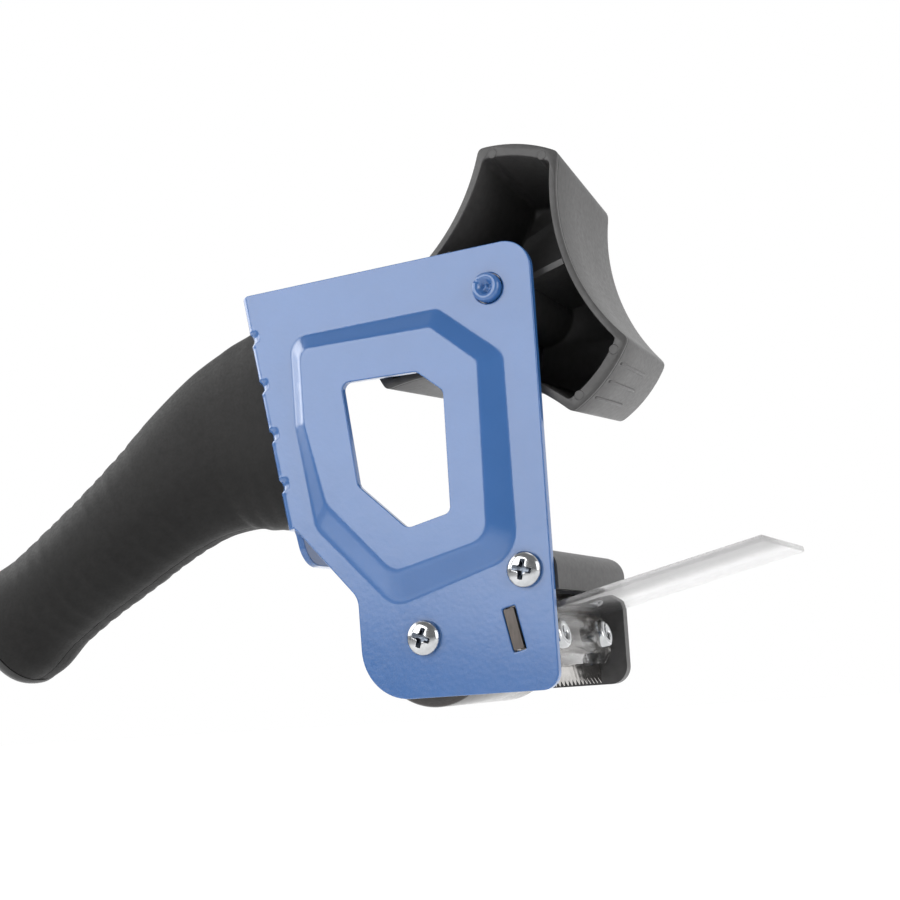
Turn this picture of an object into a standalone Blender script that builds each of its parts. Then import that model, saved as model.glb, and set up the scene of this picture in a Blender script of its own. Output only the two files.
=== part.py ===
"""Tape gun dispenser: a hand-held packing tape dispenser.

A stamped steel side plate carries a three-lobed tape hub, a rubber-sleeved
roller and a grey head housing with a serrated blade and a clear tape flap.
A pistol handle is bolted to the plate's bent rear flange.

Object axes: +X forward (towards the flap), +Y across the tape from the steel
plate to the open side, +Z up. The design is drawn in millimetres about the
hub axis and shifted so that the origin is the middle of the base of the
object's bounding box.
"""
import math
import bpy
import bmesh
from mathutils import Vector, Matrix

for ob in list(bpy.data.objects):
    bpy.data.objects.remove(ob, do_unlink=True)
for me in list(bpy.data.meshes):
    bpy.data.meshes.remove(me)

MM = 0.001

# ---------------------------------------------------------------- dimensions
# where the hub axis sits in the object's frame, millimetres
ORIGIN_X, ORIGIN_Y, ORIGIN_Z = 66.31, -30.20, 106.10

PLATE_T = 2.0            # steel sheet
PLATE_TOP = 11.8
PLATE_BOTTOM = -103.5
PLATE_FRONT_TOP = 12.3
PLATE_FRONT_BOTTOM = 11.0
EMBOSS_H = 3.0           # plateau height towards the outside
BEND_R = 2.6             # outer radius of the rear bend
FLANGE_DEPTH = 44.0      # how far the rear flange reaches across
FLANGE_DROP = -66.0      # lowest point of the flange

ROLLER_X, ROLLER_Z = -25.0, -88.3
ROLLER_R = 17.8
ROLLER_CORE_R = 12.0
ROLLER_Y0, ROLLER_Y1 = 4.0, 50.0

HUB_Y0, HUB_Y1 = 3.9, 50.5
HUB_ANGLE = 75.1         # direction of the upper lobe
HUB_HALF, HUB_HALF_INNER = 17.0, 15.3    # half width of one lobe, degrees
HUB_R_CROWN, HUB_R_INNER = 39.9, 36.5
HUB_R_WAIST, HUB_R_WAIST_INNER = 22.1, 20.2
HUB_CROWN_DRAFT, HUB_WAIST_DRAFT = 4.6, 1.9
HUB_WEB_Y = 40.0

TILT = math.radians(11.8)      # lean of the blade bracket
HEAD_X, HEAD_Z = 0.1, -88.0    # middle of the bracket
TIE_X, TIE_Z = 4.2, -73.6      # tie bar and cover screw
HEAD_FRONT = 12.0
HEAD_TOP = -68.5
DECK_BACK = -3.0
WALL_Y0, WALL_Y1 = 50.4, 53.6

FLAP_T = 1.6
FLAP_Y0, FLAP_Y1 = 4.0, 49.8
FLAP_TIP_N = 65.2

HANDLE_Y = 24.5
BOLT_S = (20.0, 50.0)    # handle bolts, down the flange from its top
GAP = 0.3

# ---------------------------------------------------------------- collections
scene = bpy.context.scene
parts_col = bpy.data.collections.new("tape_gun_dispenser")
scene.collection.children.link(parts_col)
tools_col = bpy.data.collections.new("construction")
scene.collection.children.link(tools_col)

root = bpy.data.objects.new("tape_gun_frame", None)
root.location = (ORIGIN_X * MM, ORIGIN_Y * MM, ORIGIN_Z * MM)
parts_col.objects.link(root)


def material(name, rgb, rough, metal=0.0, alpha=1.0):
    mat = bpy.data.materials.get(name)
    if mat:
        return mat
    mat = bpy.data.materials.new(name)
    mat.use_nodes = True
    bsdf = mat.node_tree.nodes["Principled BSDF"]
    bsdf.inputs["Base Color"].default_value = (*rgb, 1.0)
    bsdf.inputs["Roughness"].default_value = rough
    bsdf.inputs["Metallic"].default_value = metal
    bsdf.inputs["Alpha"].default_value = alpha
    if alpha < 1.0:
        bsdf.inputs["Transmission Weight"].default_value = 0.9
    mat.diffuse_color = (*rgb, alpha)
    return mat


BLUE = ("blue_paint", (0.085, 0.180, 0.420), 0.35, 0.0)
GREY = ("grey_plastic", (0.085, 0.083, 0.083), 0.48, 0.0)
ZINC = ("zinc_steel", (0.62, 0.63, 0.64), 0.28, 1.0)
STEEL = ("bare_steel", (0.50, 0.48, 0.46), 0.32, 1.0)
CLEAR = ("clear_plastic", (0.90, 0.91, 0.92), 0.06, 0.0, 0.35)
BLACK = ("black_grip", (0.012, 0.011, 0.010), 0.62, 0.0)
BLACKHARD = ("black_plastic", (0.016, 0.016, 0.016), 0.42, 0.0)
RUBBER = ("roller_rubber", (0.030, 0.026, 0.024), 0.40, 0.0)
NYLON = ("nylon_bush", (0.70, 0.68, 0.62), 0.45, 0.0)
BRASS = ("brass", (0.66, 0.48, 0.20), 0.30, 1.0)
FELT = ("felt", (0.20, 0.19, 0.18), 0.95, 0.0)


def finish(name, bm, mat, origin=(0.0, 0.0, 0.0), smooth=None, hidden=False):
    """Turn a bmesh drawn in millimetres about the hub axis into an object."""
    if bm.faces:
        bmesh.ops.remove_doubles(bm, verts=bm.verts, dist=1e-4)
        bmesh.ops.recalc_face_normals(bm, faces=bm.faces)
    bmesh.ops.translate(bm, verts=bm.verts, vec=-Vector(origin))
    bmesh.ops.scale(bm, verts=bm.verts, vec=(MM, MM, MM))
    me = bpy.data.meshes.new(name)
    bm.to_mesh(me)
    bm.free()
    ob = bpy.data.objects.new(name, me)
    ob.location = Vector(origin) * MM
    ob.parent = root
    if hidden:
        tools_col.objects.link(ob)
        ob.hide_render = True
        ob.display_type = 'WIRE'
    else:
        parts_col.objects.link(ob)
    if mat:
        me.materials.append(material(*mat))
    if smooth is not None:
        for p in me.polygons:
            p.use_smooth = True
        me.set_sharp_from_angle(angle=math.radians(smooth))
    return ob


def boolean(target, tool_bm, operation, name="cutter"):
    tool = finish(target.name + "_" + name, tool_bm, None, hidden=True)
    mod = target.modifiers.new(name, 'BOOLEAN')
    mod.operation = operation
    mod.solver = 'EXACT'
    mod.object = tool
    return mod


# ---------------------------------------------------------------- outlines
def rounded(points, default=0.0, steps=5):
    """Polygon with its corners turned into arcs. A point is (x, z) or (x, z, radius)."""
    out = []
    n = len(points)
    for i in range(n):
        p = Vector(points[i][:2])
        r = points[i][2] if len(points[i]) > 2 else default
        a = Vector(points[i - 1][:2]) - p
        b = Vector(points[(i + 1) % n][:2]) - p
        la, lb = a.length, b.length
        a.normalize()
        b.normalize()
        ang = a.angle(b)
        if r <= 0.0 or abs(ang - math.pi) < 1e-3:
            out.append((p.x, p.y))
            continue
        d = min(r / math.tan(ang / 2), 0.49 * la, 0.49 * lb)
        r = d * math.tan(ang / 2)
        centre = p + (a + b).normalized() * (r / math.sin(ang / 2))
        s = (p + a * d) - centre
        e = (p + b * d) - centre
        t0 = math.atan2(s.y, s.x)
        dt = math.atan2(e.y, e.x) - t0
        while dt > math.pi:
            dt -= 2 * math.pi
        while dt < -math.pi:
            dt += 2 * math.pi
        for k in range(steps + 1):
            t = t0 + dt * k / steps
            out.append((centre.x + r * math.cos(t), centre.y + r * math.sin(t)))
    return out


def circle(cx, cz, r, n=32, start=0.0):
    return [(cx + r * math.cos(start + 2 * math.pi * k / n),
             cz + r * math.sin(start + 2 * math.pi * k / n)) for k in range(n)]


def loop_verts(bm, pts, y):
    return [bm.verts.new((x, y, z)) for x, z in pts]


def loop_edges(bm, verts):
    return [bm.edges.new((verts[i], verts[(i + 1) % len(verts)])) for i in range(len(verts))]


def bridge(bm, a, b):
    n = len(a)
    for i in range(n):
        j = (i + 1) % n
        bm.faces.new((a[i], a[j], b[j], b[i]))


def prism(outline, y0, y1, holes=()):
    """Flat shape in the XZ plane, with optional holes, thickened along Y."""
    bm = bmesh.new()
    rings = [outline] + list(holes)
    low = [loop_verts(bm, r, y0) for r in rings]
    high = [loop_verts(bm, r, y1) for r in rings]
    for a, b in zip(low, high):
        bridge(bm, a, b)
    for side in (low, high):
        if len(rings) == 1:
            bm.faces.new(side[0])
        else:
            edges = []
            for ring in side:
                for i in range(len(ring)):
                    edges.append(bm.edges.get((ring[i], ring[(i + 1) % len(ring)])))
            bmesh.ops.triangle_fill(bm, use_beauty=True, edges=edges)
    return bm


def turned(profile, cx, cz, n=36, start=0.0):
    """Solid of revolution about a Y axis through (cx, cz). Profile is a closed
    list of (radius, y); a radius of zero is a point on the axis."""
    bm = bmesh.new()
    rings = []
    for r, y in profile:
        if r <= 1e-6:
            rings.append([bm.verts.new((cx, y, cz))])
        else:
            rings.append([bm.verts.new((cx + r * math.cos(start + 2 * math.pi * k / n), y,
                                        cz + r * math.sin(start + 2 * math.pi * k / n))) for k in range(n)])
    m = len(rings)
    for i in range(m):
        a, b = rings[i], rings[(i + 1) % m]
        if len(a) == 1 and len(b) == 1:
            continue
        for k in range(n):
            j = (k + 1) % n
            if len(a) == 1:
                bm.faces.new((a[0], b[j], b[k]))
            elif len(b) == 1:
                bm.faces.new((a[k], a[j], b[0]))
            else:
                bm.faces.new((a[k], a[j], b[j], b[k]))
    return bm


def place(bm, matrix):
    bmesh.ops.transform(bm, matrix=matrix, verts=bm.verts)
    return bm


def merge(*bms):
    out = bmesh.new()
    for b in bms:
        me = bpy.data.meshes.new("tmp")
        b.to_mesh(me)
        b.free()
        out.from_mesh(me)
        bpy.data.meshes.remove(me)
    return out


def box(x0, x1, y0, y1, z0, z1):
    return prism([(x0, z0), (x1, z0), (x1, z1), (x0, z1)], y0, y1)


def hex_nut(bore, across_corners, y0, y1):
    """Hexagon nut about the Y axis, with a round bore."""
    return prism(circle(0, 0, across_corners, 6), y0, y1, [circle(0, 0, bore, 28)])


# ---------------------------------------------------------------- side plate
REAR_TOP = Vector((-76.8, PLATE_TOP))
REAR_LOW = Vector((-65.2, -56.3))
rear_dir = (REAR_LOW - REAR_TOP).normalized()
rear_out = Vector((rear_dir.y, -rear_dir.x))
if rear_out.x > 0:
    rear_out = -rear_out

emboss_outer = [(-60.5, -2.8, 5), (-15.0, -2.8, 4), (2.4, -17.5, 5), (2.0, -69.5, 9),
                (-33.0, -79.0, 7), (-55.3, -56.0, 6), (-60.2, -28.0, 8)]
emboss_inner = [(-56.2, -7.6, 3), (-16.0, -8.2, 3), (-3.0, -19.5, 3), (-3.8, -65.4, 6),
                (-31.5, -71.8, 5), (-50.5, -51.5, 5), (-56.0, -28.0, 6)]
cut_out = [(-43.6, -18.9, 2), (-21.0, -19.4, 2.5), (-13.6, -25.6, 2.5), (-13.9, -57.3, 2),
           (-26.5, -60.0, 3), (-40.2, -47.2, 3)]


def tilted(n, t):
    """Point of the head's leaning frame: n forwards from the bracket's middle, t down it."""
    return (HEAD_X + n * math.cos(TILT) + t * math.sin(TILT),
            HEAD_Z + n * math.sin(TILT) - t * math.cos(TILT))


def side_plate():
    bm = bmesh.new()
    inset = BEND_R
    a = REAR_TOP - rear_out * inset
    a += rear_dir * ((PLATE_TOP - a.y) / rear_dir.y)
    b = REAR_LOW - rear_out * inset
    shape = rounded([(a.x, PLATE_TOP), (PLATE_FRONT_TOP, PLATE_TOP, 8), (PLATE_FRONT_BOTTOM, PLATE_BOTTOM, 4.5),
                     (-43.6, PLATE_BOTTOM, 13.5), (-44.0, -76.5, 6), (b.x + 1.0, b.y - 0.95)], steps=6)
    shape.append((b.x, b.y))
    outer = loop_verts(bm, shape, 0.0)
    edges = loop_edges(bm, outer)
    e_out = loop_verts(bm, rounded(emboss_outer, steps=4), 0.0)
    e_in = loop_verts(bm, rounded(emboss_inner, steps=4), -EMBOSS_H)
    cut = loop_verts(bm, rounded(cut_out, steps=4), -EMBOSS_H)
    e_out_edges = loop_edges(bm, e_out)
    e_in_edges = loop_edges(bm, e_in)
    cut_edges = loop_edges(bm, cut)
    slot = [tilted(-1.75, -5.6), tilted(1.75, -5.6), tilted(1.75, 5.6), tilted(-1.75, 5.6)]
    holes = [circle(0, 0, 4.3, 28), circle(TIE_X, TIE_Z, 2.8, 20), circle(ROLLER_X, ROLLER_Z, 2.8, 20), slot]
    hole_edges = []
    for h in holes:
        hole_edges += loop_edges(bm, loop_verts(bm, h, 0.0))
    bmesh.ops.triangle_fill(bm, use_beauty=True, edges=edges + e_out_edges + hole_edges)
    bmesh.ops.triangle_fill(bm, use_beauty=True, edges=e_in_edges + cut_edges)
    bridge(bm, e_out, e_in)
    # rear bend and flange
    top, low = outer[0], outer[-1]
    steps = 4
    prev = (top, low)
    for k in range(1, steps + 1):
        ang = math.pi / 2 * k / steps
        off = rear_out * (BEND_R * math.sin(ang))
        y = BEND_R * (1 - math.cos(ang))
        cur = (bm.verts.new((top.co.x + off.x, y, top.co.z + off.y)),
               bm.verts.new((low.co.x + off.x, y, low.co.z + off.y)))
        bm.faces.new((prev[0], cur[0], cur[1], prev[1]))
        prev = cur
    base = REAR_TOP

    def on_flange(s, y):
        p = base + rear_dir * s
        return bm.verts.new((p.x, y, p.y))

    length_low = (Vector((prev[1].co.x, prev[1].co.z)) - base).length
    drop = (FLANGE_DROP - base.y) / rear_dir.y
    ring = [prev[0], prev[1]]
    ring.append(on_flange(length_low + 1.2, BEND_R + 0.4))
    r = 6.0
    for k in range(6):
        t = math.pi / 2 * k / 5
        ring.append(on_flange(drop - r + r * math.sin(t), BEND_R + 1.2 + r - r * math.cos(t)))
    for k in range(6):
        t = math.pi / 2 * k / 5
        ring.append(on_flange(drop - r + r * math.cos(t), FLANGE_DEPTH - r + r * math.sin(t)))
    r = 5.0
    for k in range(6):
        t = math.pi / 2 * k / 5
        ring.append(on_flange(r - r * math.sin(t), FLANGE_DEPTH - r + r * math.cos(t)))
    flange_edges = [bm.edges.get((ring[i], ring[(i + 1) % len(ring)])) or bm.edges.new((ring[i], ring[(i + 1) % len(ring)]))
                    for i in range(len(ring))]
    for s in BOLT_S:
        hole = [on_flange(s + 2.8 * math.cos(2 * math.pi * k / 20), HANDLE_Y + 2.8 * math.sin(2 * math.pi * k / 20))
                for k in range(20)]
        flange_edges += [bm.edges.new((hole[i], hole[(i + 1) % 20])) for i in range(20)]
    bmesh.ops.triangle_fill(bm, use_beauty=True, edges=flange_edges)
    bmesh.ops.recalc_face_normals(bm, faces=bm.faces)
    probe = min(bm.faces, key=lambda f: (f.calc_center_median() - Vector((6, 0, -90))).length)
    if probe.normal.y > 0:
        bmesh.ops.reverse_faces(bm, faces=bm.faces)
    bmesh.ops.scale(bm, verts=bm.verts, vec=(MM, MM, MM))
    me = bpy.data.meshes.new("side_plate")
    bm.to_mesh(me)
    bm.free()
    ob = bpy.data.objects.new("side_plate", me)
    parts_col.objects.link(ob)
    ob.parent = root
    me.materials.append(material(*BLUE))
    sol = ob.modifiers.new("sheet", 'SOLIDIFY')
    sol.thickness = PLATE_T * MM
    sol.offset = -1.0
    sol.use_even_offset = True
    return ob


plate = side_plate()

# frame of the flange: s runs down the bend line from its top, u leaves the flange rearwards
flange_base = REAR_TOP.copy()


def on_rear(s, u):
    """Point in XZ at distance s down the flange and u behind its outer face."""
    p = flange_base + rear_dir * s + rear_out * u
    return (p.x, p.y)


def rear_matrix(s, u):
    """Local axes: X out of the flange, Y across, Z up along it, at (s, u)."""
    x, z = on_rear(s, u)
    xa = Vector((rear_out.x, 0.0, rear_out.y))
    za = Vector((-rear_dir.x, 0.0, -rear_dir.y))
    ya = za.cross(xa)
    m = Matrix((xa, ya, za)).transposed().to_4x4()
    m.translation = Vector((x, HANDLE_Y, z))
    return m


# ---------------------------------------------------------------- hub and brake
hub_axle = finish("hub_axle", turned([(0, -1.9), (1.1, -1.9), (1.1, -2.3), (3.3, -2.3), (3.9, -1.7), (3.9, -GAP),
                                      (3.9, -0.05), (3.9, 2.3), (6.2, 2.3), (6.2, 3.3), (4.0, 3.3), (4.0, 56.4),
                                      (3.3, 57.1), (0, 57.1)], 0, 0, 32), BLUE, smooth=35)


def lobe_profile(y, inner=False, extra=0.0, steps_lobe=4, steps_waist=8):
    """Closed three-lobed outline at depth y, of the outer or the inner wall, moved inwards by extra."""
    f = (y - HUB_Y0) / (HUB_Y1 - HUB_Y0)
    if inner:
        rm, rw, half = HUB_R_INNER - HUB_CROWN_DRAFT * f, HUB_R_WAIST_INNER - HUB_WAIST_DRAFT * f, HUB_HALF_INNER
    else:
        rm, rw, half = HUB_R_CROWN - HUB_CROWN_DRAFT * f, HUB_R_WAIST - HUB_WAIST_DRAFT * f, HUB_HALF
    rm, rw = rm - extra, rw - 0.9 * extra
    half = math.radians(half - 0.4 * extra)
    hw = math.pi / 3 - half
    wx, wy = rm * math.cos(hw), rm * math.sin(hw)
    wr = ((wx - rw) ** 2 + wy * wy) / (2 * (wx - rw))
    d = rw + wr
    wspan = math.atan2(wy, d - wx) * 0.91
    soft = math.radians(1.0)
    pts = []
    for lobe in range(3):
        base = math.radians(HUB_ANGLE) + lobe * 2 * math.pi / 3
        polar = [(rm - 1.6, -half + 0.25 * soft), (rm - 0.45, -half + 1.7 * soft)]
        for k in range(steps_lobe + 1):
            polar.append((rm, (half - 3.4 * soft) * (2 * k / steps_lobe - 1)))
        polar += [(rm - 0.45, half - 1.7 * soft), (rm - 1.6, half - 0.25 * soft)]
        pts += [(r * math.cos(base + t), r * math.sin(base + t)) for r, t in polar]
        mid = base + math.pi / 3
        for k in range(steps_waist + 1):
            t = -wspan + 2 * wspan * k / steps_waist
            x, y = d - wr * math.cos(t), wr * math.sin(t)
            pts.append((x * math.cos(mid) - y * math.sin(mid), x * math.sin(mid) + y * math.cos(mid)))
    return pts


def loft(rings, caps=True):
    """rings: list of (points, y); all the same length."""
    bm = bmesh.new()
    vs = [loop_verts(bm, p, y) for p, y in rings]
    for a, b in zip(vs, vs[1:]):
        bridge(bm, a, b)
    if caps:
        bm.faces.new(vs[0])
        bm.faces.new(vs[-1])
    return bm


def hub_crown(y):
    return HUB_R_CROWN - HUB_CROWN_DRAFT * (y - HUB_Y0) / (HUB_Y1 - HUB_Y0)


lp = lobe_profile
hub = finish("tape_hub", loft([(lp(HUB_Y0, extra=0.4), HUB_Y0), (lp(4.3), 4.3), (lp(49.0), 49.0),
                               (lp(50.0, extra=0.4), 50.0), (lp(HUB_Y1, extra=1.0), HUB_Y1)]), GREY, smooth=28)
boolean(hub, loft([(lp(HUB_Y0 - 2, True), HUB_Y0 - 2), (lp(HUB_WEB_Y, True), HUB_WEB_Y)]), 'DIFFERENCE', "near_cavity")
boolean(hub, loft([(lp(HUB_WEB_Y + 2.5, True), HUB_WEB_Y + 2.5), (lp(HUB_Y1 + 2, True), HUB_Y1 + 2)]), 'DIFFERENCE', "far_cavity")
boolean(hub, turned([(8.0, HUB_Y0 + 0.1), (8.0, HUB_WEB_Y + 3.2), (0, HUB_WEB_Y + 3.2), (0, HUB_Y0 + 0.1)], 0, 0, 32),
        'UNION', "boss")
ribs = []
for k in range(3):
    ang = math.radians(HUB_ANGLE + 60 + 120 * k)
    rib = box(6.7, HUB_R_WAIST - HUB_WAIST_DRAFT - 0.6, 6.2, HUB_WEB_Y + 1.0, -0.8, 0.8)
    ribs.append(place(rib, Matrix.Rotation(-ang, 4, 'Y')))
boolean(hub, merge(*ribs), 'UNION', "web_ribs")
grips = []
for lobe in range(3):
    for off in (-7.8, 0.0, 7.8):
        ang = math.radians(HUB_ANGLE + 120 * lobe + off)
        crown = HUB_R_CROWN
        rib = box(crown - 1.4, crown + 0.4, 7.8, 33.2, -0.45, 0.45)
        for v in rib.verts:
            v.co.x -= HUB_R_CROWN - hub_crown(v.co.y)
        grips.append(place(rib, Matrix.Rotation(-ang, 4, 'Y')))
boolean(hub, merge(*grips), 'UNION', "grip_ribs")
boolean(hub, turned([(5.6, HUB_Y0 - 2), (5.6, HUB_WEB_Y + 6), (0, HUB_WEB_Y + 6), (0, HUB_Y0 - 2)], 0, 0, 32, 0.05),
        'DIFFERENCE', "bore")

finish("hub_bush_near", turned([(4.06, HUB_Y0 - 0.05), (5.5, HUB_Y0 - 0.05), (5.5, 14.0), (4.06, 14.0)], 0, 0, 32),
       NYLON, smooth=35)
finish("hub_bush_far", turned([(4.06, 33.0), (5.5, 33.0), (5.5, HUB_WEB_Y + 3.2), (4.06, HUB_WEB_Y + 3.2)], 0, 0, 32),
       NYLON, smooth=35)
finish("friction_washer", turned([(4.3, 43.5), (9.5, 43.5), (9.5, 44.7), (4.3, 44.7)], 0, 0, 32), FELT, smooth=35)
finish("pressure_washer", turned([(4.3, 45.0), (9.0, 45.0), (9.0, 46.0), (4.3, 46.0)], 0, 0, 32), ZINC, smooth=35)


def spring(name, radius, wire, y0, y1, turns, mat, seg=14, wseg=6):
    bm = bmesh.new()
    n = int(turns * seg)
    rings = []
    for i in range(n + 1):
        f = i / n
        a = 2 * math.pi * turns * f
        end = 0.16
        if f < end:
            g = 0.0 + (f / end) * 0.08
        elif f > 1 - end:
            g = 0.92 + ((f - (1 - end)) / end) * 0.08
        else:
            g = 0.08 + (f - end) / (1 - 2 * end) * 0.84
        y = y0 + wire + (y1 - y0 - 2 * wire) * g
        ring = []
        for k in range(wseg):
            t = 2 * math.pi * k / wseg
            r = radius + wire * math.cos(t)
            ring.append(bm.verts.new((r * math.cos(a), y + wire * math.sin(t), r * math.sin(a))))
        rings.append(ring)
    for a, b in zip(rings, rings[1:]):
        bridge(bm, a, b)
    bm.faces.new(rings[0])
    bm.faces.new(rings[-1])
    return finish(name, bm, mat, smooth=50)


spring("brake_spring", 6.2, 0.55, 46.3, 53.2, 4.0, STEEL)

knob_outline = []
for k in range(48):
    a = 2 * math.pi * k / 48
    knob_outline.append(((12.4 + 0.7 * math.cos(8 * a)) * math.cos(a), (12.4 + 0.7 * math.cos(8 * a)) * math.sin(a)))
shoulder = [(x * 0.93, z * 0.93) for x, z in knob_outline]
knob = finish("tension_knob", loft([(shoulder, 53.6), (knob_outline, 54.6), (knob_outline, 62.0), (shoulder, 63.4)]),
              BLACKHARD, smooth=30)
boolean(knob, turned([(7.9, 52.0), (7.9, 59.6), (0, 59.6), (0, 52.0)], 0, 0, 32), 'DIFFERENCE', "insert_seat")
finish("knob_nut", hex_nut(4.2, 7.4, 53.7, 59.2), BRASS)

# ---------------------------------------------------------------- roller
RX, RZ = ROLLER_X, ROLLER_Z
finish("roller_sleeve", turned([(ROLLER_CORE_R + 0.15, ROLLER_Y0), (ROLLER_R - 0.6, ROLLER_Y0), (ROLLER_R, ROLLER_Y0 + 0.6),
                                (ROLLER_R, ROLLER_Y1 - 0.6), (ROLLER_R - 0.6, ROLLER_Y1), (ROLLER_CORE_R + 0.15, ROLLER_Y1)],
                               RX, RZ, 44), RUBBER, origin=(RX, 0, RZ), smooth=35)
core = finish("roller_core", turned([(5.3, ROLLER_Y0 + 0.6), (ROLLER_CORE_R, ROLLER_Y0 + 0.6), (ROLLER_CORE_R, ROLLER_Y1 - 0.6),
                                     (5.3, ROLLER_Y1 - 0.6)], RX, RZ, 40), BLACKHARD, origin=(RX, 0, RZ), smooth=35)
finish("roller_bush_near", turned([(3.07, ROLLER_Y0 + 0.3), (5.2, ROLLER_Y0 + 0.3), (5.2, 12.0), (3.07, 12.0)], RX, RZ, 28),
       NYLON, origin=(RX, 0, RZ), smooth=35)
finish("roller_bush_far", turned([(3.07, 42.0), (5.2, 42.0), (5.2, ROLLER_Y1 - 0.3), (3.07, ROLLER_Y1 - 0.3)], RX, RZ, 28),
       NYLON, origin=(RX, 0, RZ), smooth=35)
finish("roller_axle", turned([(0, 10.0), (1.7, 9.0), (1.7, 2.35), (3.0, 2.35), (3.0, 50.05), (1.7, 50.05), (1.7, 43.0), (0, 42.0)],
                             RX, RZ, 28), STEEL, origin=(RX, 0, RZ), smooth=35)


def pan_screw(name, cx, cz, face_y, length, head_r=4.6, head_h=2.6, shank=1.5, side=-1, mat=ZINC):
    """Cross-recessed pan-head screw. side -1: head on the low-Y side of face_y."""
    s = side
    prof = [(0, face_y + s * (head_h - 1.5)), (head_r * 0.52, face_y + s * head_h * 0.97)]
    steps = 3
    for k in range(steps + 1):
        a = math.pi / 2 * (1 - k / steps)
        prof.append((head_r * 0.60 + head_r * 0.40 * math.cos(a), face_y + s * (head_h * 0.35 + head_h * 0.65 * math.sin(a))))
    prof += [(head_r, face_y + s * 0.02), (shank, face_y + s * 0.02), (shank, face_y - s * length), (0, face_y - s * length)]
    bm = turned([prof[1]] + prof[2:] + [(0, prof[1][1])], cx, cz, 22)
    ob = finish(name, bm, mat, origin=(cx, 0, cz), smooth=35)
    depth = 1.7
    for k in range(2):
        w, l = 0.62, head_r * 0.50
        bar = box(-l, l, min(face_y + s * (head_h - depth), face_y + s * (head_h + 1)),
                  max(face_y + s * (head_h - depth), face_y + s * (head_h + 1)), -w, w)
        place(bar, Matrix.Translation((cx, 0, cz)) @ Matrix.Rotation(math.radians(18 + 90 * k), 4, 'Y'))
        cut = finish(name + "_recess_%d" % k, bar, None, hidden=True)
        m = ob.modifiers.new("recess_%d" % k, 'BOOLEAN')
        m.operation = 'DIFFERENCE'
        m.solver = 'EXACT'
        m.object = cut
    return ob


pan_screw("roller_screw_near", RX, RZ, -0.1, 8.0)
pan_screw("roller_screw_far", RX, RZ, WALL_Y1 + 0.1, 8.0, side=1)

# ---------------------------------------------------------------- head housing
wall_outline = rounded([(HEAD_FRONT, HEAD_TOP, 5.5), (11.4, PLATE_BOTTOM, 5.0), (-43.0, PLATE_BOTTOM, 14.0),
                        (-43.0, -73.0, 8), (-30.0, HEAD_TOP, 8)], steps=6)
slot_far = [tilted(-1.2, -5.2), tilted(1.2, -5.2), tilted(1.2, 5.2), tilted(-1.2, 5.2)]
housing = finish("head_housing", prism(wall_outline, WALL_Y0, WALL_Y1,
                                       [circle(TIE_X, TIE_Z, 2.8, 20), circle(RX, RZ, 2.8, 20), slot_far]), GREY, smooth=30)
# cover deck: a sheet that runs over the top and down the front, joined to the far wall
deck_path = rounded([(DECK_BACK, HEAD_TOP), (HEAD_FRONT, HEAD_TOP, 5.5), (HEAD_FRONT - 0.05, -79.0)], steps=6)
inner = []
for i, p in enumerate(deck_path):
    a = Vector(deck_path[max(i - 1, 0)])
    b = Vector(deck_path[min(i + 1, len(deck_path) - 1)])
    d = (b - a).normalized()
    nrm = Vector((d.y, -d.x))
    inner.append((p[0] + nrm.x * 2.0, p[1] + nrm.y * 2.0))
deck = prism(deck_path + inner[::-1], PLATE_T + GAP, WALL_Y0 + 0.6)
boolean(housing, deck, 'UNION', "deck")
finish("tie_bar", turned([(0, 12.0), (1.7, 11.0), (1.7, 2.35), (2.8, 2.35), (2.8, 50.05), (1.7, 50.05), (1.7, 41.0), (0, 40.0)],
                         TIE_X - 0.0, TIE_Z - 0.0, 24), STEEL, origin=(TIE_X, 0, TIE_Z), smooth=35)
pan_screw("cover_screw_near", TIE_X, TIE_Z, -0.1, 8.0)
pan_screw("cover_screw_far", TIE_X, TIE_Z, WALL_Y1 + 0.1, 8.0, side=1)


# ---------------------------------------------------------------- blade, bracket and flap
def leaning(outline_nt, y0, y1, holes=()):
    return prism([tilted(n, t) for n, t in outline_nt], y0, y1, holes)


SCREW_T = 3.3                       # how far down the bracket the flap screws sit
SCREW_YS = (11.0, 42.5)
bracket = finish("blade_bracket", leaning([(-0.8, -10.0), (0.8, -10.0), (0.8, 12.5), (-0.8, 12.5)], 2.6, 49.9), STEEL)
boolean(bracket, leaning([(-0.8, -4.8), (0.8, -4.8), (0.8, 4.8), (-0.8, 4.8)], -0.4, 3.0), 'UNION', "tab_near")
boolean(bracket, leaning([(-0.8, -4.8), (0.8, -4.8), (0.8, 4.8), (-0.8, 4.8)], 49.5, 53.0), 'UNION', "tab_far")


def across(radius, y, n0, n1, n=20, inner=None):
    """Cylinder along the bracket's normal, at height SCREW_T, from n0 to n1."""
    prof = [(radius, n0), (radius, n1)]
    if inner:
        prof = [(inner, n0), (radius, n0), (radius, n1), (inner, n1)]
    else:
        prof = [(0, n0)] + prof + [(0, n1)]
    return place(turned(prof, 0, 0, n), across_matrix(y))


def across_matrix(y):
    """Maps a shape turned about Y (drawn at the origin) so that +Y becomes the bracket's normal."""
    nx, nz = math.cos(TILT), math.sin(TILT)
    normal = Vector((nx, 0.0, nz))
    down = Vector((math.sin(TILT), 0.0, -math.cos(TILT)))
    m = Matrix((down, normal, down.cross(normal))).transposed().to_4x4()
    x, z = tilted(0.0, SCREW_T)
    m.translation = Vector((x, y, z))
    return m


for i, y in enumerate(SCREW_YS):
    boolean(bracket, across(2.0, y, -3.0, 3.0), 'DIFFERENCE', "screw_hole_%d" % i)

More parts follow.
